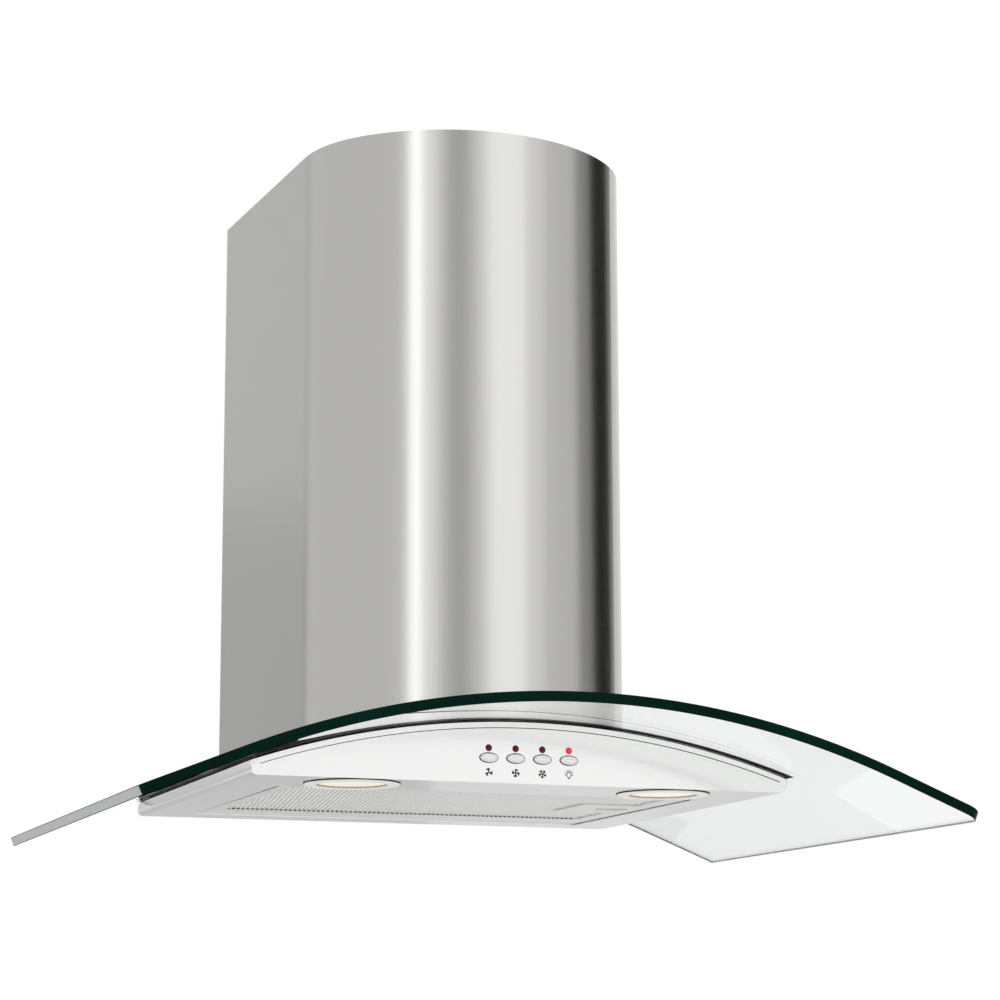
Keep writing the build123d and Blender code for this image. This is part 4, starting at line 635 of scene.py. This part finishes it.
def punch_mesh(mesh_low, mesh_high):
    """A sheet of leaning cells between two heights, each with a slanting hole."""
    work = bmesh.new()
    cell_x, cell_y = 2 * MESH_HALF_X / columns, (MESH_BACK - MESH_FRONT) / rows
    made = {}

    def leaned(shape, x, y):
        """A shape of the unit cell, sized and leaned, with its middle at a place."""
        return [(x + (u + ROW_SHIFT * v) * cell_x, y + v * cell_y) for u, v in shape]

    def corner(x, y, z):
        """The one corner that neighbouring cells share at a place."""
        key = (round(x * PER_METRE), round(y * PER_METRE), z)
        if key not in made:
            made[key] = work.verts.new((x, y, z))
        return made[key]

    for row in range(rows):
        y = MESH_FRONT + (row + 0.5) * cell_y
        moved = ROW_SHIFT * (row + 0.5)
        for column in range(-int(moved) - 1, columns + 1 - int(moved)):
            x = -MESH_HALF_X + (column + 0.5 + moved) * cell_x
            if in_pocket(x, y, 0.5 * cell_x):
                continue
            whole_cell = leaned(CELL_SHAPE, x, y)
            around = [(min(max(u, -MESH_HALF_X), MESH_HALF_X), v) for u, v in whole_cell]
            if max(u for u, _ in around) - min(u for u, _ in around) < TINY:
                continue
            rings = [[corner(*p, z) for p in around] for z in (mesh_low, mesh_high)]
            if around != whole_cell:
                for ring, order in zip(rings, (range(4), range(3, -1, -1))):
                    seen = list(dict.fromkeys(ring[i] for i in order))
                    if len(seen) > 2:
                        work.faces.new(seen[::-1])
                continue
            shape = WIDE_HOLE if at_border(x, y, cell_x) else HOLE_SHAPE
            punched = [[work.verts.new((*p, z)) for p in leaned(shape, x, y)]
                       for z in (mesh_low, mesh_high)]
            for i in range(4):
                k = (i + 1) % 4
                work.faces.new((rings[0][k], rings[0][i], punched[0][i], punched[0][k]))
                work.faces.new((rings[1][i], rings[1][k], punched[1][k], punched[1][i]))
                work.faces.new((punched[0][k], punched[0][i], punched[1][i], punched[1][k]))
    return work


print("holes are", HOLE_PITCH_X, "by", HOLE_PITCH_Y, "m apart")

# %% Close each sheet's rim and fit it
for name, (node, mesh_low, mesh_high) in MESH_SHEETS.items():
    mesh_work = punch_mesh(mesh_low, mesh_high)
    low_edges = [e for e in mesh_work.edges
                 if e.is_boundary and all(abs(v.co.z - mesh_low) < TINY for v in e.verts)]
    grown = bmesh.ops.extrude_edge_only(mesh_work, edges=low_edges)
    for point in (g for g in grown["geom"] if isinstance(g, bmesh.types.BMVert)):
        point.co.z = mesh_high
    bmesh.ops.remove_doubles(mesh_work, verts=mesh_work.verts[:], dist=TINY)
    bmesh.ops.recalc_face_normals(mesh_work, faces=mesh_work.faces[:])
    mesh_sheet = finish_piece(mesh_work, name, [finishes["mesh_aluminium"]])
    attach(mesh_sheet, "filter")
    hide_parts(node)
    print(name, "has", len(mesh_sheet.data.polygons), "faces")

# %% [markdown]
# ## The printed signs
# Under the buttons are four small signs: a fan with three, four and five blades for the speeds, and
# a bulb for the lamps. They are printed, so each is a film of ink a few hundredths of a millimetre
# thick, cut to its outline and laid on the steel.

# %% Cut the signs
PANEL = -0.336
INK_THICK = 0.00006
SIGN_HEIGHT = -0.1727
SIGN_RADIUS = 0.0030
BLADE_WIDTHS = {3: 1.0, 4: 0.9, 5: 0.75}
# Outline of a blade: share of the sign's radius, and the first and last degree at that distance.
BLADE_LINE = [(0.22, -34, 34), (0.42, -24, 26), (0.62, -24, 40), (0.84, -18, 52), (1.0, 0, 46)]
BULB_RADIUS, BULB_MIDDLE, BULB_TIP, BULB_STROKE = 0.0017, 0.0002, -0.0027, 0.0006
RAY_START, RAY_END, RAY_STROKE = 0.0024, 0.0033, 0.0007
BULB_ANGLES, RAY_ANGLES = range(-35, 216, 25), (-5, 30, 62, 90, 118, 150, 185)


def ink_shape(work, x, z, outline):
    """Lays a closed outline on the panel as a thin film of ink."""
    for points in outline:
        back = [work.verts.new((x + u, PANEL, z + v)) for u, v in points]
        front = [work.verts.new((x + u, PANEL - INK_THICK, z + v)) for u, v in points]
        work.faces.new(front)
        work.faces.new(back[::-1])
        for i in range(len(points)):
            work.faces.new((front[i - 1], back[i - 1], back[i], front[i]))


def on_circle(radius, angle):
    """The place on a circle at an angle in degrees."""
    return radius * math.cos(math.radians(angle)), radius * math.sin(math.radians(angle))


def fan_blades(count, first, way):
    """Outline of a fan: narrow stems on a hub, with broad heads that sweep one way at the rim."""
    wide = BLADE_WIDTHS[count]
    line = [(out, low * wide, high * wide) for out, low, high in BLADE_LINE]
    outline = []
    for blade in range(count):
        middle = 360 * blade / count + first
        starts = [(out, low if way > 0 else -high) for out, low, high in line]
        ends = [(out, high if way > 0 else -low) for out, low, high in line[::-1]]
        outline += [on_circle(SIGN_RADIUS * out, middle + lag) for out, lag in starts + ends]
    return [outline]


def stroke(a, b, wide):
    """A straight stroke from a to b."""
    run = Vector((b[0] - a[0], b[1] - a[1]))
    side = Vector((-run.y, run.x)).normalized() * wide / 2
    return [(a[0] - side.x, a[1] - side.y), (b[0] - side.x, b[1] - side.y),
            (b[0] + side.x, b[1] + side.y), (a[0] + side.x, a[1] + side.y)]


def bulb_strokes():
    """A bulb in outline that points down, with short rays above it."""
    line = [(0.0, BULB_TIP)]
    line += [(x, z + BULB_MIDDLE) for x, z in (on_circle(BULB_RADIUS, a) for a in BULB_ANGLES)]
    strokes = [stroke(a, b, BULB_STROKE) for a, b in zip(line, line[1:] + line[:1])]
    middle = Vector((0, BULB_MIDDLE))
    for angle in RAY_ANGLES:
        way = Vector(on_circle(1, angle))
        start, end = middle + way * RAY_START, middle + way * RAY_END
        strokes.append(stroke(tuple(start), tuple(end), RAY_STROKE))
    return strokes


# Each sign stands under a button, at the button's own X.
signs = {-0.030: fan_blades(3, 90, 1), -0.010: fan_blades(4, 92, -1),
         0.010: fan_blades(5, 40, 1), 0.030: bulb_strokes()}
for number, (x, shapes) in enumerate(signs.items(), start=1):
    ink_work = bmesh.new()
    ink_shape(ink_work, x, SIGN_HEIGHT, shapes)
    bmesh.ops.recalc_face_normals(ink_work, faces=ink_work.faces[:])
    sign = finish_piece(ink_work, f"printed_sign_{number}", [finishes["sign_ink"]])
    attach(sign, "hood")
print("signs", len(signs))

# %% [markdown]
# ## The push buttons
# Each button is a small oval cap of plated plastic, with a domed face and a flange behind the panel
# that keeps it in. A dome matters for chrome: a flat mirror shows one patch of the room, while a
# dome gathers the whole room and turns dark at its rim. The cap is made as a stack of ovals that
# close in on the top along a quarter of a flattened circle.

# %% Raise the domed caps
CAP_HALF_X, CAP_HALF_Z, CAP_HEIGHT, CAP_WALL = 0.00655, 0.0032, -0.1626, 0.0007
CAP_FRONT, FLANGE_FRONT, FLANGE_BACK, FLANGE_WIDE = -0.3382, -0.3347, -0.3335, 0.0010
STEM_BACK, STEM_SHARE, OVAL_POINTS = -0.3187, 0.4, 48
DOME_STEPS, DOME_TIP, DOME_RISE, DOME_CLOSE = 10, 0.02, 0.9, 0.8


def oval(work, x, y, grow, share=1.0):
    """A ring of points on the button's oval, grown outward or shrunk to a share."""
    turns = [2 * math.pi * i / OVAL_POINTS for i in range(OVAL_POINTS)]
    return [work.verts.new((x + (CAP_HALF_X + grow) * share * math.cos(a), y,
                            CAP_HEIGHT + (CAP_HALF_Z + grow) * share * math.sin(a))) for a in turns]


def join_rings(work, rings):
    """Closes a stack of rings into a solid."""
    for one, other in zip(rings, rings[1:]):
        for i in range(len(one)):
            work.faces.new((one[i - 1], one[i], other[i], other[i - 1]))
    work.faces.new(rings[0])
    work.faces.new(rings[-1][::-1])


def domed_button(x):
    """Flange, stem and domed cap of one button."""
    work = bmesh.new()
    rings = [oval(work, x, STEM_BACK, 0, STEM_SHARE), oval(work, x, FLANGE_BACK, 0, STEM_SHARE)]
    rings += [oval(work, x, FLANGE_BACK, FLANGE_WIDE), oval(work, x, FLANGE_FRONT, FLANGE_WIDE),
              oval(work, x, FLANGE_FRONT, 0)]
    dome = -CAP_FRONT + PANEL - CAP_WALL
    for step in range(DOME_STEPS + 1):
        climb = math.radians(90 * step / DOME_STEPS)
        share = max(math.cos(climb), DOME_TIP)
        face = PANEL - CAP_WALL - dome * math.sin(climb) ** DOME_RISE
        rings.append(oval(work, x, face, 0, share ** DOME_CLOSE))
    join_rings(work, rings)
    bmesh.ops.recalc_face_normals(work, faces=work.faces[:])
    return work


for number, x in enumerate(signs, start=1):
    cap = finish_piece(domed_button(x), f"domed_button_{number}", [finishes["button_chrome"]],
                       soft_angle=50)
    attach(cap, f"button_{number}")
    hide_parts(f"button_{number}")
print("cap is", [round(d, 4) for d in cap.dimensions], "m")

# %% [markdown]
# A cap slides in a hole that is a little larger, and the edge of that hole is dark with shade. A
# thin black ring around each cap is painted shade that gives that outline. It is a flat tube of
# four ovals, two in front and two behind.

# %% Lay the painted shade rings around the buttons
BUTTON_SHADE_INNER, BUTTON_SHADE_OUTER, BUTTON_SHADE_PROUD = 0.00018, 0.00056, 0.00008


def close_tube(work, hoops):
    """Joins each hoop to the next and the last to the first."""
    for one, other in zip(hoops, hoops[1:] + hoops[:1]):
        for i in range(len(one)):
            work.faces.new((one[i - 1], one[i], other[i], other[i - 1]))
    bmesh.ops.recalc_face_normals(work, faces=work.faces[:])


for number, x in enumerate(signs, start=1):
    button_shade_work = bmesh.new()
    front = PANEL - BUTTON_SHADE_PROUD
    close_tube(button_shade_work, [oval(button_shade_work, x, y, grow)
                             for grow, y in ((BUTTON_SHADE_INNER, PANEL), (BUTTON_SHADE_OUTER, PANEL),
                                             (BUTTON_SHADE_OUTER, front), (BUTTON_SHADE_INNER, front))])
    # Each ring is painted shade: the black of the gap around the cap.
    button_shade = finish_piece(button_shade_work, f"button_gap_shade_{number}", [finishes["seal_rubber"]])
    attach(button_shade, "hood")
print("collar is", [round(d, 4) for d in button_shade.dimensions], "m")

# %% [markdown]
# ## The painted shade at the lamps
# Each lamp ring has a thin black ring under it that stands out a hair past the ring. It is painted
# shadow: seen only from the side, it draws a dark arc under the ring's front. Inside the ring, a
# thin warm brown ring runs around the lens as painted shade of the gap there, with a warm painted
# reflection. Both are flat tubes of four circles.

# %% Lay the painted shade rings at the lamps
LAMP_SPOT_X, LAMP_SPOT_Y, RING_POINTS = 0.118, -0.300, 96
# The black ring under each lamp ring is painted shadow, the dark arc under the ring's front.
RING_SHADOW_INNER, RING_SHADOW_OUTER, RING_SHADOW_TOP, RING_SHADOW_LOW = 0.0333, 0.0339, -0.18002, -0.18055
# The warm ring inside each lamp ring is painted shade of the gap around the lens, with a warm
# painted reflection.
LENS_SHADE_INNER, LENS_SHADE_OUTER, LENS_SHADE_TOP, LENS_SHADE_LOW = 0.0242, 0.0250, -0.18000, -0.18050
lens_shade_paint, shader = start_finish("lens_gap_shade_paint", "warm_lens_gap_shade", (0.3, 0.24, 0.09), 0.9, 0.35)
lens_shade_noise = lay_texture(lens_shade_paint, NOISE, (300, 300, 300), Scale=1.0, Detail=3.0)
tint(lens_shade_paint, lens_shade_noise, shader, (0.16, 0.13, 0.05), (0.34, 0.27, 0.11))


def flat_ring(name, x, inner, outer, top, low, finish):
    """A flat tube around a lamp, riding on the hood."""
    work = bmesh.new()
    turns = [2 * math.pi * i / RING_POINTS for i in range(RING_POINTS)]
    close_tube(work, [[work.verts.new((x + radius * math.cos(a),
                                       LAMP_SPOT_Y + radius * math.sin(a), z)) for a in turns]
                      for radius, z in ((inner, top), (outer, top), (outer, low), (inner, low))])
    piece = finish_piece(work, name, [finish])
    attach(piece, "hood")
    return piece


rings_made = []
for side, x in (("left", -LAMP_SPOT_X), ("right", LAMP_SPOT_X)):
    rings_made += [
        flat_ring(f"lamp_ring_shadow_{side}", x, RING_SHADOW_INNER, RING_SHADOW_OUTER, RING_SHADOW_TOP, RING_SHADOW_LOW,
                  finishes["seal_rubber"]),
        flat_ring(f"lens_gap_shade_{side}", x, LENS_SHADE_INNER, LENS_SHADE_OUTER, LENS_SHADE_TOP, LENS_SHADE_LOW,
                  lens_shade_paint)]
print("painted lamp shade rings:", len(rings_made))

# %% [markdown]
# ## The rolled rim
# A narrow rim of bright steel runs around the top of the body, along both sides and over the arch
# in front. It covers the lower half of the rubber, so that only a thin black line stays under the
# glass, and the glass mirrors that line and the rim. The rim is a strip swept along a path: at each
# point of the path there are four corners, two low and two high, and neighbours are joined.

# %% Roll the rim
RIM_LOW, RIM_HIGH = 0.61865, 0.62245
BODY_SIDE, LIP_FACE, RIM_THICK, RIM_CORNER, RIM_BACK = 0.200, -0.337, 0.0004, 0.0012, -0.004
CORNER_ANGLES = range(0, 91, 15)
HALF_STATIONS = 40                    # stations of a sweep over half the front


def arch_height(radius, x):
    """Height of an arch of this radius at x."""
    return ARC_CENTRE + math.sqrt(radius ** 2 - x ** 2)


def sweep_strip(name, path, low, high, slot, soft_angle=30):
    """A strip between two arches, along a path of (near x, near y, far x, far y)."""
    work = bmesh.new()
    stations = []
    for x, y, far_x, far_y in path:
        corners = ((x, y, low), (far_x, far_y, low), (far_x, far_y, high), (x, y, high))
        stations.append([work.verts.new((u, v, arch_height(radius, u)))
                         for u, v, radius in corners])
    join_rings(work, stations)
    bmesh.ops.recalc_face_normals(work, faces=work.faces[:])
    piece = finish_piece(work, name, [finishes[slot]], soft_angle)
    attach(piece, "hood")
    return piece


def thickened(path):
    """Gives each (x, y, outward x, outward y) of a path a far point, RIM_THICK outward."""
    return [(x, y, x + RIM_THICK * out_x, y + RIM_THICK * out_y) for x, y, out_x, out_y in path]


left_turn = []
for angle in (math.radians(degrees) for degrees in CORNER_ANGLES):
    out_x, out_y = -math.cos(angle), -math.sin(angle)
    left_turn.append((-BODY_SIDE + RIM_CORNER * (1 + out_x), LIP_FACE + RIM_CORNER * (1 + out_y),
                      out_x, out_y))
across = BODY_SIDE - RIM_CORNER
front_run = [(across * (i / HALF_STATIONS - 1), LIP_FACE, 0, -1)
             for i in range(1, 2 * HALF_STATIONS)]
right_turn = [(-x, y, -out_x, out_y) for x, y, out_x, out_y in left_turn[::-1]]
rim_path = ([(-BODY_SIDE, RIM_BACK, -1, 0)] + left_turn + front_run + right_turn
            + [(BODY_SIDE, RIM_BACK, 1, 0)])
rolled_rim = sweep_strip("rolled_rim", thickened(rim_path), RIM_LOW, RIM_HIGH, "body_steel", 40)
print("rim is", [round(d, 4) for d in rolled_rim.dimensions], "m")

# %% [markdown]
# ## The line under the rim
# A thin black strip lies under the rim in front: painted shadow in the crease between the rim and
# the panel. From the front it is only a dark line, but it draws the arch. The same sweep makes it.

# %% Lay the painted shadow under the rim
CREASE_SHADOW_THIN = 0.00045
# The black strip is painted shadow in the crease under the rim.
crease_shadow = sweep_strip("rim_crease_shadow", thickened(front_run), RIM_LOW - CREASE_SHADOW_THIN, RIM_LOW,
                     "seal_rubber", 40)
print("tongue is", [round(d, 4) for d in crease_shadow.dimensions], "m")

# %% [markdown]
# A thin black sheet lies against the glass in front of the rim and along its sides. It is painted
# shade: seen from below, it makes the line under the glass fully black. The same sweep makes it
# too, along the rubber's own sides and front, and it is wider in front than at the sides.

# %% Lay the painted shade under the glass
RUBBER_SIDE, RUBBER_FACE = 0.199, -0.335
UNDER_GLASS_SHADE_LOW, UNDER_GLASS_SHADE_HIGH, UNDER_GLASS_SHADE_SIDE, UNDER_GLASS_SHADE_FRONT = 0.6238, 0.62395, 0.0030, 0.0085

inner_line = [(-RUBBER_SIDE, RIM_BACK)]
inner_line += [(RUBBER_SIDE * (i / HALF_STATIONS - 1), RUBBER_FACE)
               for i in range(2 * HALF_STATIONS + 1)]
inner_line += [(RUBBER_SIDE, RIM_BACK)]
under_glass_shade_path = [(x, y, x * (RUBBER_SIDE + UNDER_GLASS_SHADE_SIDE) / RUBBER_SIDE,
              y if y == RIM_BACK else y - UNDER_GLASS_SHADE_FRONT) for x, y in inner_line]
# This black sheet is painted shade that darkens the line under the glass.
under_glass_shade = sweep_strip("painted_shade_under_glass", under_glass_shade_path, UNDER_GLASS_SHADE_LOW, UNDER_GLASS_SHADE_HIGH, "seal_rubber")
print("foot is", [round(d, 4) for d in under_glass_shade.dimensions], "m")

# %% [markdown]
# ## The filter's folded edge
# Where the mesh is folded into the frame, at the back of the window, the folds show as a row of
# small gaps, dark with shade. Each is painted shade: a thin dark plate on the frame's inner wall.

# %% Set the row of gaps
GAP_WIDE, GAP_TALL, GAP_PITCH, GAP_DEEP, GAP_LOW = 0.0023, 0.0008, 0.0038, 0.00006, -0.1786
gap_count = int(2 * WINDOW_X / GAP_PITCH)
gap_y, gap_z = WINDOW_BACK - GAP_DEEP / 2, GAP_LOW + GAP_TALL / 2
gap_work = bmesh.new()
for i in range(gap_count):
    gap_x = -WINDOW_X + (i + 0.5) * GAP_PITCH
    box = bmesh.ops.create_cube(gap_work, size=1.0)
    for point in box["verts"]:
        point.co = Vector((gap_x + point.co.x * GAP_WIDE, gap_y + point.co.y * GAP_DEEP,
                           gap_z + point.co.z * GAP_TALL))
# The dark plates are painted shade in the gaps.
gaps = finish_piece(gap_work, "painted_gap_shadows", [finishes["seal_rubber"]])
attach(gaps, "filter")
print("gaps", gap_count)

# %% [markdown]
# The frame is folded from sheet, and along its left side a dark line of shade narrows towards the
# back. It is painted shadow: a thin black wedge, laid on the frame's lower face like the gaps.

# %% Lay the painted shadow line
SHADOW_LINE_X, SHADOW_LINE_FRONT, SHADOW_LINE_BACK, SHADOW_LINE_LOW = -0.1585, -0.2615, -0.040, -0.17876
SHADOW_LINE_WIDE, SHADOW_LINE_NARROW, FRAME_LOW = 0.0018, 0.0004, -0.1787
shadow_line_work = bmesh.new()
shadow_line_corners = [(SHADOW_LINE_X, SHADOW_LINE_FRONT), (SHADOW_LINE_X + SHADOW_LINE_WIDE, SHADOW_LINE_FRONT),
             (SHADOW_LINE_X + SHADOW_LINE_NARROW, SHADOW_LINE_BACK), (SHADOW_LINE_X, SHADOW_LINE_BACK)]
join_rings(shadow_line_work, [[shadow_line_work.verts.new((x, y, z)) for x, y in shadow_line_corners]
                       for z in (SHADOW_LINE_LOW, FRAME_LOW)])
bmesh.ops.recalc_face_normals(shadow_line_work, faces=shadow_line_work.faces[:])
# The black wedge is painted shadow along the frame's left side.
frame_shadow_line = finish_piece(shadow_line_work, "painted_frame_shadow_line", [finishes["seal_rubber"]])
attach(frame_shadow_line, "filter")
print("painted shadow line is", [round(d, 4) for d in frame_shadow_line.dimensions], "m")
